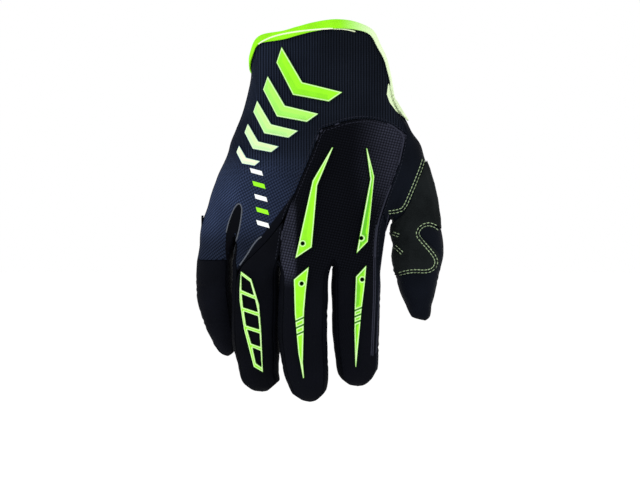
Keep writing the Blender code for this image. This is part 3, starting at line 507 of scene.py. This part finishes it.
def folded_tape():
    """Green edge tape with a fine crosswise rib, with a painted highlight that whitens it towards the
    thumb.
    """
    paint = Paint("folded_tape", 0.65, specular=0.05)
    x, y, z = paint.place()
    rib = abs(((x + y + z) * (math.pi / 0.0008)).sine())
    patches = paint.cloud(60, 2).step(0.3, 0.7)
    green = colours().green
    fresh = paint.blend(patches, rgba(green, 0.98), rgba(green, 1.15))
    # Painted highlight: the tape fades to near white towards the thumb.
    white = (0.88, 0.97, 0.70)
    lit_tape = paint.blend(x.step(0.012, 0.040), fresh, rgba(white))
    paint.colour(paint.blend(rib * 0.35, lit_tape, rgba(green, 0.55)))
    paint.bump(rib, 0.00014, 0.8)
    return paint.material


def thread(name, colour):
    paint = Paint(name, 0.65, specular=0.05)
    x, _, z = paint.place()
    ply = abs(((x + z) * (math.pi / 0.0004)).sine())
    paint.colour(paint.blend(ply, rgba(colour, 0.7), rgba(colour, 1.2)))
    paint.bump(ply, 0.00008, 0.6)
    return paint.material


# Shapes

def front(point):
    """A point of the front drawing as x and z, in metres."""
    return (point[0] - WRIST_AT[0]) * UNIT, (WRIST_AT[1] - point[1]) * UNIT


def copied(name):
    """A CAD node's mesh, with its loose triangles merged."""
    bm = bmesh.new()
    bm.from_mesh(frame["nodes"][name].data)
    bmesh.ops.remove_doubles(bm, verts=bm.verts[:], dist=0.00001)
    return bm


def new_object(name, bm):
    mesh = bpy.data.meshes.new(name)
    bm.to_mesh(mesh)
    bm.free()
    obj = bpy.data.objects.new(name, mesh)
    bpy.context.scene.collection.objects.link(obj)
    return obj


def apply_modifiers(obj):
    bpy.context.view_layer.update()
    found = bpy.data.meshes.new_from_object(
        obj.evaluated_get(bpy.context.evaluated_depsgraph_get()))
    obj.modifiers.clear()
    obj.data = found


def finish_piece(obj, material, slot, *nodes):
    obj.data.materials.clear()
    obj.data.materials.append(material)
    for face in obj.data.polygons:
        face.use_smooth = True
    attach(obj, BODY)
    if nodes:
        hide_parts(*nodes)


def smooth_share(value, low, high):
    share = min(1.0, max(0.0, (value - low) / (high - low)))
    return share * share * (3 - 2 * share)


def joint_pull(point, folds):
    """Draws the cloth in towards the finger's axis at its joint folds."""
    (x0, x1), (y0, y1), heights = folds
    share = smooth_share(-point.z, 0.120, 0.200)
    centre = Vector((x0 + (x1 - x0) * share, y0 + (y1 - y0) * share, point.z))
    away = point - centre
    reach = away.length
    if reach > 0.0165 or reach < 0.001:
        return Vector()
    pull = 0.0
    wave = noise.noise(point * 120) * 0.0018
    palm_side = 1.0 + 0.9 * smooth_share(away.y / reach, -0.2, 0.8)
    for height in heights:
        for offset, depth in ((0.0, 1.0), (0.0042, 0.6), (-0.0042, 0.6)):
            distance = (point.z + wave - height - offset) / 0.0012
            pull += depth * math.exp(-distance * distance)
    fade = 1 - smooth_share(reach, 0.0145, 0.0165)
    return away * (-pull * palm_side * fade * sizes().joint_depth / reach)


def outline_fit(point):
    """How far a point moves to give the cloth its fitted outline."""
    x, y = WRIST_AT[0] + point.x / UNIT, WRIST_AT[1] - point.z / UNIT
    right = down = 0.0
    for at_x, at_y, reach, pull_right, pull_down in OUTLINE_PULLS:
        away = ((x - at_x) ** 2 + (y - at_y) ** 2) / (reach * reach)
        if away < 7:
            weight = math.exp(-away)
            right += pull_right * weight
            down += pull_down * weight
    for (start, end), rows in FINGER_ROWS:
        if not start <= x < end or y <= rows[0][0]:
            continue
        upper, lower = rows[-1], rows[-1]
        for first, second in zip(rows, rows[1:]):
            if y <= second[0]:
                upper, lower = first, second
                break
        share = (y - upper[0]) / (lower[0] - upper[0]) if lower is not upper else 0.0
        left, far, new_left, new_far, drop = [
            a + (b - a) * share for a, b in zip(upper[1:], lower[1:])]
        held = min(max(x, left), far)
        right += new_left + (held - left) / (far - left) * (new_far - new_left) - held
        down += drop
    return Vector((right * UNIT, 0, -down * UNIT))


def cloth_field(point):
    """How far the cloth's soft folds carry a point. Both faces of a panel move alike."""
    depth = sizes().fold_depth
    broad = noise.noise_vector(point * 42) * depth
    fine = noise.noise_vector(point * 130 + Vector((3, 7, 1))) * (depth * 0.35)
    move = broad + fine + outline_fit(point)
    wrist = math.exp(-((point.z + 0.048) / 0.022) ** 2)
    slope = point.z * 1.0 + point.x * 0.22 + noise.noise(point * 30) * 0.006
    ripple = math.sin(slope * 2 * math.pi / 0.0125)
    out = -1.0 if point.y < 0 else 1.0
    move.y += out * ripple * wrist * depth * 0.75
    web = math.exp(-((point.x - 0.050) / 0.012) ** 2 - ((point.z + 0.098) / 0.018) ** 2)
    gather = math.sin((point.z * 0.6 - point.x) * 2 * math.pi / 0.0065)
    move.y += gather * web * depth * 1.1
    for folds in FINGER_FOLDS:
        if point.z < -0.125:
            move += joint_pull(point, folds)
    if point.x > 0.042 and point.z < -0.09:
        move += joint_pull(point, THUMB_FOLDS)
    return move


def soft_panel(name):
    """A sewn panel: its CAD solid rounded at the edges, smoothed, and set in soft folds."""
    bm = copied(name)
    bmesh.ops.join_triangles(bm, faces=bm.faces[:], angle_face_threshold=math.radians(50),
                             angle_shape_threshold=math.radians(80))
    crease = bm.edges.layers.float.new("crease_edge")
    for edge in bm.edges:
        if len(edge.link_faces) == 2 and edge.calc_face_angle(0) > math.radians(48):
            edge[crease] = 0.72
    obj = new_object(name + "_cloth", bm)
    smooth = obj.modifiers.new("Smooth", "SUBSURF")
    smooth.levels = smooth.render_levels = sizes().panel_levels
    apply_modifiers(obj)
    for vert in obj.data.vertices:
        vert.co += cloth_field(vert.co)
    obj.data.update()
    return obj


def joined_surface(objects):
    """Several pieces as one surface that others are set on."""
    points, faces = [], []
    for obj in objects:
        start = len(points)
        points += [vert.co.copy() for vert in obj.data.vertices]
        faces += [[start + i for i in face.vertices] for face in obj.data.polygons]
    return BVHTree.FromPolygons(points, faces)


def panel_surfaces(*others):
    """The finished panels, and any other finished pieces named, as one surface."""
    names = [name + "_cloth" for name in PANELS] + list(others)
    return joined_surface([bpy.data.objects[name] for name in names])


def reseat(obj):
    """Carries a piece in or out with the cloth that it lies on."""
    plain = joined_surface([frame["nodes"][name] for name in PANELS])
    soft = panel_surfaces()
    last = 0.0
    for vert in obj.data.vertices:
        before = seat(plain, vert.co.x, vert.co.z)[0]
        after = seat(soft, vert.co.x, vert.co.z)[0]
        if before is not None and after is not None and abs(after.y - before.y) < 0.004:
            last = after.y - before.y
        vert.co.y += last


def rounded_rubber(name, ridge, thickness=0.0014):
    """A moulded piece: its CAD solid rounded on a fine grid, with a ridge along its middle."""
    bm = copied(name)
    bm.normal_update()
    bmesh.ops.triangulate(bm, faces=bm.faces[:])
    bm.faces.ensure_lookup_table()
    walls = [f for f in bm.faces if abs(f.normal.y) < 0.02]
    tops = [f for f in bm.faces if f.normal.y <= -0.02]
    unders = [f for f in bm.faces if f.normal.y >= 0.02]
    whole = BVHTree.FromBMesh(bm)
    trees = [BVHTree.FromPolygons([v.co.copy() for v in bm.verts],
                                  [[v.index for v in f.verts] for f in group])
             for group in (walls, tops, unders)]
    obj = new_object(name + "_rubber", bm)
    grid = obj.modifiers.new("Round", "REMESH")
    grid.mode = "VOXEL"
    grid.voxel_size = sizes().rubber_voxel
    apply_modifiers(obj)
    bm = bmesh.new()
    bm.from_mesh(obj.data)
    for _ in range(2):
        bmesh.ops.smooth_vert(bm, verts=bm.verts[:], factor=0.5, use_axis_x=True, use_axis_y=True,
                              use_axis_z=True)
    low = bm.verts.layers.float.new("low")
    rim = bm.verts.layers.float.new("rim")
    slope = bm.verts.layers.float.new("slope")
    for vert in bm.verts:
        edge, _, _, wall = trees[0].find_nearest(vert.co)
        top = trees[1].find_nearest(vert.co)
        under = trees[2].find_nearest(vert.co)[3]
        share = smooth_share(under / (under + top[3] + 0.000001), 0.3, 0.9)
        face = seat(whole, vert.co.x, vert.co.z)[0]
        grooved = face is not None and trees[2].find_nearest(face)[3] < thickness * 0.7
        rise = 0.0 if grooved else min(wall * 0.55, ridge)
        # Painted shade on the left slope: 1 where the nearest wall lies to the point's left.
        left = smooth_share((vert.co.x - edge.x) / (wall + 0.000001), -0.2, 0.2)
        vert[slope] = left * smooth_share(wall, 0.0004, 0.0009)
        # A painted highlight in a thin band along the rim's top edge.
        vert[rim] = share * smooth_share(wall, 0.0001, 0.0004) \
            * (1 - smooth_share(wall, 0.0006, 0.0010))
        # Painted shade at the foot and along the outer edge.
        vert[low] = 1 - smooth_share(under + rise * share, 0.0003, 0.0011)
        vert[low] = max(vert[low], 1 - smooth_share(wall, 0.0, 0.00035))
        # Painted shade in the grooves.
        if grooved:
            vert[low], vert[rim] = 1.0, 0.0
        vert.co += top[1] * (rise * share)
    bm.to_mesh(obj.data)
    bm.free()
    reseat(obj)
    return obj


def along(points, pitch):
    """Points a pitch apart along a line of x and z, each with the line's direction."""
    found, carried = [], pitch / 2
    for start, end in zip(points, points[1:]):
        start, end = Vector(start), Vector(end)
        length = (end - start).length
        while carried < length:
            found.append((start.lerp(end, carried / length), (end - start).normalized()))
            carried += pitch
        carried -= length
    return found


def rounded_line(points, rounds=2):
    """A line with its corners cut, so that it reads as a curve."""
    for _ in range(rounds):
        cut = [points[0]]
        for start, end in zip(points, points[1:]):
            cut.append(tuple(a * 0.75 + b * 0.25 for a, b in zip(start, end)))
            cut.append(tuple(a * 0.25 + b * 0.75 for a, b in zip(start, end)))
        points = cut + [points[-1]]
    return points


def seat(surface, x, z, way=1):
    """Where a line from the front, or with way -1 from the palm side, meets the glove."""
    point, normal, _, _ = surface.ray_cast(Vector((x, -0.2 * way, z)), Vector((0, way, 0)))
    return point, normal


def add_stitch(bm, start, end, out, radius):
    """One stitch: a short rounded thread from start to end, lying on the cloth."""
    length = (end - start).length
    direction = (end - start).normalized()
    side = direction.cross(out).normalized()
    up = side.cross(direction).normalized()
    turn = Matrix((side, up, direction)).transposed().to_4x4()
    centre = (start + end) / 2 + up * radius * 0.35
    stretch_by = Matrix.Diagonal((radius, radius * 0.8, length / 2 + radius * 0.4, 1.0))
    bmesh.ops.create_uvsphere(bm, u_segments=8, v_segments=6, radius=1.0,
                              matrix=Matrix.Translation(centre) @ turn @ stretch_by)


def sew(bm, surface, line, offset=0.0, way=1, pitch=None, length=None, radius=None):
    """A row of stitches along a line of x and z, offset sideways from it."""
    pitch = pitch or sizes().stitch_pitch
    length = length or sizes().stitch_length
    radius = radius or sizes().stitch_radius
    for point, direction in along(line, pitch):
        sideways = Vector((-direction.y, direction.x)) * offset
        ends = [point + sideways - direction * length / 2, point + sideways + direction * length / 2]
        (start, out), (end, _) = [seat(surface, p.x, p.y, way) for p in ends]
        if start is None or end is None or (end - start).length > length * 2.5:
            continue
        add_stitch(bm, start, end, out, radius)


def seam_chains(name, way, keep):
    """Lines along a panel's sewn edge, as seen from the front or, with way -1, from behind."""
    source = copied(name)
    source.normal_update()
    tree = BVHTree.FromBMesh(source)
    edges = []
    for edge in source.edges:
        if len(edge.link_faces) != 2 or edge.calc_face_angle(0) < math.radians(48):
            continue
        middle = (edge.verts[0].co + edge.verts[1].co) / 2
        if not keep(middle):
            continue
        hit = tree.ray_cast(middle + Vector((0, -0.0003 * way, 0)), Vector((0, -way, 0)))[0]
        if hit is None:
            edges.append(tuple(vert.index for vert in edge.verts))
    source.verts.ensure_lookup_table()
    places = {i: source.verts[i].co.copy() for edge in edges for i in edge}
    source.free()
    neighbours = {}
    for a, b in edges:
        neighbours.setdefault(a, []).append(b)
        neighbours.setdefault(b, []).append(a)
    chains, used = [], set()
    starts = [i for i, near in neighbours.items() if len(near) == 1] + list(neighbours)
    for start in starts:
        if start in used:
            continue
        chain, here = [start], start
        used.add(start)
        while True:
            onward = [i for i in neighbours[here] if i not in used]
            if not onward:
                break
            here = onward[0]
            used.add(here)
            chain.append(here)
        if len(chain) > 2:
            chains.append([(places[i].x, places[i].z) for i in chain])
    return chains


def raised_line(bm, surface, line, radius, way=1, sides=8):
    """A raised seam: a thin round welt along a line of x and z, half sunk in the cloth."""
    rings = []
    spots = along(line, radius * 1.6)
    previous = None
    for point, direction in spots:
        place, out = seat(surface, point.x, point.y, way)
        if place is None or (previous is not None and (place - previous).length > radius * 6):
            close_welt(bm, rings)
            rings, previous = [], None
            continue
        forward = Vector((direction.x, 0, direction.y))
        side = forward.cross(out).normalized()
        up = side.cross(forward).normalized()
        ring = []
        for i in range(sides):
            angle = 2 * math.pi * i / sides
            offset = side * math.cos(angle) + up * math.sin(angle) * 0.8
            ring.append(bm.verts.new(place + offset * radius))
        rings.append(ring)
        previous = place
    close_welt(bm, rings)


def close_welt(bm, rings):
    if len(rings) < 3:
        for ring in rings:
            bmesh.ops.delete(bm, geom=ring, context="VERTS")
        return
    for ring, following in zip(rings, rings[1:]):
        for i in range(len(ring)):
            j = (i + 1) % len(ring)
            bm.faces.new((ring[i], ring[j], following[j], following[i]))
    bm.faces.new(list(reversed(rings[0])))
    bm.faces.new(rings[-1])


def seated_plate(surface, outline, lift, thickness, cell=0.0006):
    """A thin plate of a convex outline, laid on the cloth."""
    bm = bmesh.new()
    xs, zs = [p[0] for p in outline], [p[1] for p in outline]
    width, height = max(xs) - min(xs), max(zs) - min(zs)
    centre = Vector(((max(xs) + min(xs)) / 2, 0, (max(zs) + min(zs)) / 2))
    place = Matrix.Translation(centre) @ Matrix.Rotation(math.radians(90), 4, "X")
    scale = Matrix.Diagonal((width / 2 + cell, height / 2 + cell, 1, 1))
    bmesh.ops.create_grid(bm, x_segments=max(2, int(width / cell)),
                          y_segments=max(2, int(height / cell)), size=1.0, matrix=place @ scale)
    count = len(outline)
    middle = Vector((sum(xs) / count, 0, sum(zs) / count))
    for i in range(count):
        start = Vector((outline[i][0], 0, outline[i][1]))
        end = Vector((outline[(i + 1) % count][0], 0, outline[(i + 1) % count][1]))
        normal = (end - start).cross(Vector((0, 1, 0))).normalized()
        if normal.dot(middle - start) > 0:
            normal.negate()
        bmesh.ops.bisect_plane(bm, geom=bm.verts[:] + bm.edges[:] + bm.faces[:], dist=1e-7,
                               plane_co=start, plane_no=normal, clear_outer=True)
    seats = {vert: seat(surface, vert.co.x, vert.co.z) for vert in bm.verts}
    depths = sorted(point.y for point, _ in seats.values() if point is not None)
    usual = depths[len(depths) // 2]
    beyond = []
    for vert, (point, out) in seats.items():
        if point is None or abs(point.y - usual) > PLATE_REACH:
            beyond.append(vert)
        else:
            vert.co = point + out * lift
    bmesh.ops.delete(bm, geom=beyond, context="VERTS")
    loose = [vert for vert in bm.verts if not vert.link_faces]
    bmesh.ops.delete(bm, geom=loose, context="VERTS")
    raised = bmesh.ops.extrude_face_region(bm, geom=bm.faces[:])
    tops = [item for item in raised["geom"] if isinstance(item, bmesh.types.BMVert)]
    bmesh.ops.translate(bm, verts=tops, vec=(0, -thickness, 0))
    bmesh.ops.recalc_face_normals(bm, faces=bm.faces[:])
    return bm


# Operators

class GLOVE_OT_panels(bpy.types.Operator):
    """Makes the sewn cloth and leather panels"""
    bl_idname = "glove.panels"
    bl_label = "Sewn Panels"

    def execute(self, context):
        noise.seed_set(FOLD_SEED)
        finishes = {}
        makers = {"back_knit": back_knit, "knuckle_knit": knuckle_knit, "palm_suede": palm_suede,
                  "smooth_stretch": smooth_stretch, "little_stretch": little_stretch,
                  "navy_stretch": navy_stretch}
        for name, (slot, finish) in PANELS.items():
            if finish not in finishes:
                finishes[finish] = makers[finish]()
            finish_piece(soft_panel(name), finishes[finish], slot, name)
        return {"FINISHED"}


class GLOVE_OT_binding(bpy.types.Operator):
    """Makes the folded tape round the cuff"""
    bl_idname = "glove.binding"
    bl_label = "Cuff Binding"

    def execute(self, context):
        tape = folded_tape()
        finish_piece(soft_panel("cuff_binding"), tape, "green_binding", "cuff_binding")
        surface = panel_surfaces("cuff_binding_cloth")
        bm = seated_plate(surface, [front(p) for p in NOTCH_FLARE], 0.0, 0.00030)
        finish_piece(new_object("notch_flare", bm), tape, "green_binding")
        bm = bmesh.new()
        raised_line(bm, surface, rounded_line([front(p) for p in RIM_PIPING]), 0.00050)
        bmesh.ops.recalc_face_normals(bm, faces=bm.faces[:])
        finish_piece(new_object("rim_piping", bm), thread("rim_cord", colours().pale),
                     "green_binding")
        return {"FINISHED"}


class GLOVE_OT_thumb_leather(bpy.types.Operator):
    """Makes the leather that covers the thumb's web"""
    bl_idname = "glove.thumb_leather"
    bl_label = "Thumb Leather"

    def execute(self, context):
        noise.seed_set(FOLD_SEED)
        obj = new_object("thumb_leather_skin", copied("thumb_leather"))
        grid = obj.modifiers.new("Round", "REMESH")
        grid.mode = "VOXEL"
        grid.voxel_size = 0.0004
        smooth = obj.modifiers.new("Smooth", "SMOOTH")
        smooth.factor = 0.5
        smooth.iterations = 4
        apply_modifiers(obj)
        for vert in obj.data.vertices:
            vert.co += cloth_field(vert.co)
        obj.data.update()
        finish_piece(obj, thumb_suede(), "black_leather", "thumb_leather")
        return {"FINISHED"}


class GLOVE_OT_blades(bpy.types.Operator):
    """Makes the raised blades on the knuckles and fingers"""
    bl_idname = "glove.blades"
    bl_label = "Rubber Blades"

    def execute(self, context):
        for name, left_shade in BLADES:
            finish = moulded_rubber(name + "_finish", colours().green, left_shade)
            finish_piece(rounded_rubber(name, sizes().rubber_ridge), finish, "green_rubber", name)
        return {"FINISHED"}


class GLOVE_OT_chevrons(bpy.types.Operator):
    """Makes the raised chevrons on the cuff and the ladder on the ring finger"""
    bl_idname = "glove.chevrons"
    bl_label = "Chevrons and Ladder"

    def execute(self, context):
        green, pale = Vector(colours().green), Vector(colours().pale)
        for number, name in enumerate(CHEVRONS):
            share = number / (len(CHEVRONS) - 1)
            finish = moulded_rubber(name + "_finish", green.lerp(pale, share ** 1.3))
            slot = "green_rubber" if number < 3 else "pale_rubber"
            finish_piece(rounded_rubber(name, sizes().rubber_ridge), finish, slot, name)
        ladder = rounded_rubber("ring_finger_ladder", sizes().rubber_ridge * 0.3, 0.0008)
        finish_piece(ladder, moulded_rubber("ladder_finish", colours().green), "green_rubber",
                     "ring_finger_ladder")
        return {"FINISHED"}


class GLOVE_OT_dashes(bpy.types.Operator):
    """Makes the small printed dashes on the back of the hand"""
    bl_idname = "glove.dashes"
    bl_label = "Printed Dashes"

    def execute(self, context):
        surface = panel_surfaces()
        white = moulded_rubber("white_print", (0.82, 0.86, 0.84))
        green = moulded_rubber("green_print", colours().green)
        for number, ((x, y), kind) in enumerate(DASHES):
            corners = ((x, y), (x + 12, y + 3.4), (x + 13.4, y + 8.2), (x + 1.4, y + 4.8))
            bm = seated_plate(surface, [front(c) for c in corners], 0.00005, 0.00030)
            obj = new_object(f"printed_dash_{number + 1}", bm)
            slot = "green_rubber" if kind else "pale_rubber"
            finish_piece(obj, green if kind else white, slot)
        return {"FINISHED"}


class GLOVE_OT_seams(bpy.types.Operator):
    """Makes the raised seams round the knuckle panel"""
    bl_idname = "glove.seams"
    bl_label = "Raised Seams"

    def execute(self, context):
        surface = panel_surfaces()
        radius = sizes().ridge_radius
        bm = bmesh.new()
        for line in seam_chains("knuckle_panel", 1, lambda p: p.z > -0.128):
            raised_line(bm, surface, rounded_line(line, 1), radius)
        for line in seam_chains("index_side", 1, lambda p: -0.186 < p.z < -0.100):
            raised_line(bm, surface, rounded_line(line, 1), radius * 0.7)
        bmesh.ops.recalc_face_normals(bm, faces=bm.faces[:])
        obj = new_object("raised_seams", bm)
        finish_piece(obj, thread("seam_cord", [part * 1.1 for part in colours().charcoal]),
                     "charcoal_mesh")
        bm = bmesh.new()
        for line in WEDGE_PIPING:
            raised_line(bm, surface, rounded_line([front(p) for p in line]), radius * 0.75)
        bmesh.ops.recalc_face_normals(bm, faces=bm.faces[:])
        # The piping's light blue-grey colour is a painted highlight along the lit seam.
        finish_piece(new_object("wedge_piping", bm), thread("lit_wedge_cord", (0.085, 0.095, 0.115)),
                     "charcoal_mesh")
        return {"FINISHED"}


class GLOVE_OT_stitches(bpy.types.Operator):
    """Sews the double rows on the thumb and the dark rows beside the seams"""
    bl_idname = "glove.stitches"
    bl_label = "Stitches"

    def execute(self, context):
        surface = panel_surfaces("thumb_leather_skin")
        half = sizes().row_gap / 2
        bm = bmesh.new()
        for line in (WEB_SEAM, THUMB_SEAM):
            path = rounded_line([front(p) for p in line])
            for offset in (-half, half):
                sew(bm, surface, path, offset)
        for tack in WEB_TACKS:
            for offset in (-half, half):
                sew(bm, surface, [front(p) for p in tack], offset)
        obj = new_object("contrast_stitches", bm)
        finish_piece(obj, thread("contrast_thread", colours().thread), "green_binding")
        palm = bmesh.new()
        for line in PALM_SEAMS:
            path = rounded_line([front(p) for p in line])
            for offset in (-half, half):
                sew(palm, surface, path, offset, way=-1)
        obj = new_object("palm_stitches", palm)
        finish_piece(obj, thread("palm_thread", [part * 2.5 for part in colours().charcoal]),
                     "charcoal_mesh")
        dark = bmesh.new()
        for line in seam_chains("knuckle_panel", 1, lambda p: p.z > -0.128):
            sew(dark, surface, rounded_line(line, 1), 0.0017, length=0.0014, radius=0.00022)
            sew(dark, surface, rounded_line(line, 1), -0.0017, length=0.0014, radius=0.00022)
        obj = new_object("dark_stitches", dark)
        finish_piece(obj, thread("dark_thread", [part * 0.8 for part in colours().charcoal]),
                     "charcoal_mesh")
        return {"FINISHED"}


class GLOVE_OT_wedge(bpy.types.Operator):
    """Makes the smooth wedge that runs up between the little and ring fingers"""
    bl_idname = "glove.wedge"
    bl_label = "Finger Wedge"

    def execute(self, context):
        bm = seated_plate(panel_surfaces(), [front(p) for p in WEDGE], 0.0, 0.00020)
        obj = new_object("finger_wedge_cloth", bm)
        finish_piece(obj, stretch("wedge_cloth", colours().black), "black_stretch")
        return {"FINISHED"}


class GLOVE_OT_tab(bpy.types.Operator):
    """Sews the side tab to the little finger's side of the hand"""
    bl_idname = "glove.tab"
    bl_label = "Side Tab"

    def execute(self, context):
        obj = new_object("side_tab_cloth", copied("side_tab"))
        points = [vert.co for vert in obj.data.vertices]
        middle = sum(points, Vector()) / len(points)
        side = panel_surfaces().ray_cast(Vector((-0.2, middle.y, middle.z)), Vector((1, 0, 0)))[0]
        shift = side.x + 0.0003 - max(point.x for point in points)
        for vert in obj.data.vertices:
            vert.co.x += shift
        finish_piece(obj, stretch("tab_cloth", colours().black), "black_stretch", "side_tab")
        return {"FINISHED"}


class GLOVE_OT_stage(bpy.types.Operator):
    """Sets up the floor, the lights and the camera"""
    bl_idname = "glove.stage"
    bl_label = "Stage"

    def execute(self, context):
        scene = context.scene
        bm = bmesh.new()
        place = Matrix.Translation((0, 0, -0.30))
        bmesh.ops.create_circle(bm, cap_ends=True, segments=64, radius=12.0, matrix=place)
        floor = new_object("studio_floor", bm)
        paint = Paint("studio_white", 0.95, specular=0.0)
        paint.colour((0.95, 0.95, 0.95, 1.0))
        paint.shader.inputs["Emission Color"].default_value = (1, 1, 1, 1)
        paint.shader.inputs["Emission Strength"].default_value = 0.06
        floor.data.materials.append(paint.material)
        world = bpy.data.worlds.new("studio")
        world.use_nodes = True
        world.node_tree.nodes["Background"].inputs[0].default_value = (1, 1, 1, 1)
        world.node_tree.nodes["Background"].inputs[1].default_value = 1.0
        scene.world = world
        lamps = (
            ("left_window", (-1.00, -0.45, 0.30), 0.7, 4.0),
            ("right_window", (0.90, -0.70, 0.45), 0.6, 3.5),
        )
        for name, place, size, power in lamps:
            light = bpy.data.lights.new(name, "AREA")
            light.size = size
            light.energy = power
            lamp = bpy.data.objects.new(name, light)
            lamp.location = place
            target = Vector((0, 0, -0.10))
            lamp.rotation_euler = (target - Vector(place)).to_track_quat("-Z", "Y").to_euler()
            lamp.visible_camera = False
            scene.collection.objects.link(lamp)
        camera = bpy.data.cameras.new("camera")
        camera.lens = 135
        camera.sensor_width = 36
        wide = 640 * UNIT
        away = wide * camera.lens / camera.sensor_width
        x, z = front((320, 240))
        eye = bpy.data.objects.new("camera", camera)
        eye.location = (x, -away - 0.006, z)
        eye.rotation_euler = (math.radians(90), 0, 0)
        scene.collection.objects.link(eye)
        scene.camera = eye
        scene.view_settings.view_transform = "Standard"
        return {"FINISHED"}


class GLOVE_PT_sidebar(bpy.types.Panel):
    """Lists the glove's pieces"""
    bl_idname = "GLOVE_PT_sidebar"
    bl_label = "Full Finger Glove"
    bl_space_type = "VIEW_3D"
    bl_region_type = "UI"
    bl_category = "Glove"

    def draw(self, context):
        for operator in OPERATORS:
            self.layout.operator(operator.bl_idname)
        for group in (context.scene.glove_sizes, context.scene.glove_colours):
            box = self.layout.box()
            for key in group.__annotations__:
                box.prop(group, key)


OPERATORS = (GLOVE_OT_panels, GLOVE_OT_binding, GLOVE_OT_thumb_leather, GLOVE_OT_blades,
             GLOVE_OT_chevrons, GLOVE_OT_dashes, GLOVE_OT_wedge, GLOVE_OT_seams, GLOVE_OT_stitches,
             GLOVE_OT_tab, GLOVE_OT_stage)
CLASSES = (GloveSizes, GloveColours, *OPERATORS, GLOVE_PT_sidebar)


def register():
    for item in CLASSES:
        bpy.utils.register_class(item)
    bpy.types.Scene.glove_sizes = PointerProperty(type=GloveSizes)
    bpy.types.Scene.glove_colours = PointerProperty(type=GloveColours)


def unregister():
    del bpy.types.Scene.glove_colours
    del bpy.types.Scene.glove_sizes
    for item in reversed(CLASSES):
        bpy.utils.unregister_class(item)


def main():
    register()
    bpy.ops.glove.panels()
    bpy.ops.glove.binding()
    bpy.ops.glove.thumb_leather()
    bpy.ops.glove.blades()
    bpy.ops.glove.chevrons()
    bpy.ops.glove.dashes()
    bpy.ops.glove.wedge()
    bpy.ops.glove.seams()
    bpy.ops.glove.stitches()
    bpy.ops.glove.tab()
    bpy.ops.glove.stage()


if __name__ == "__main__":
    main()
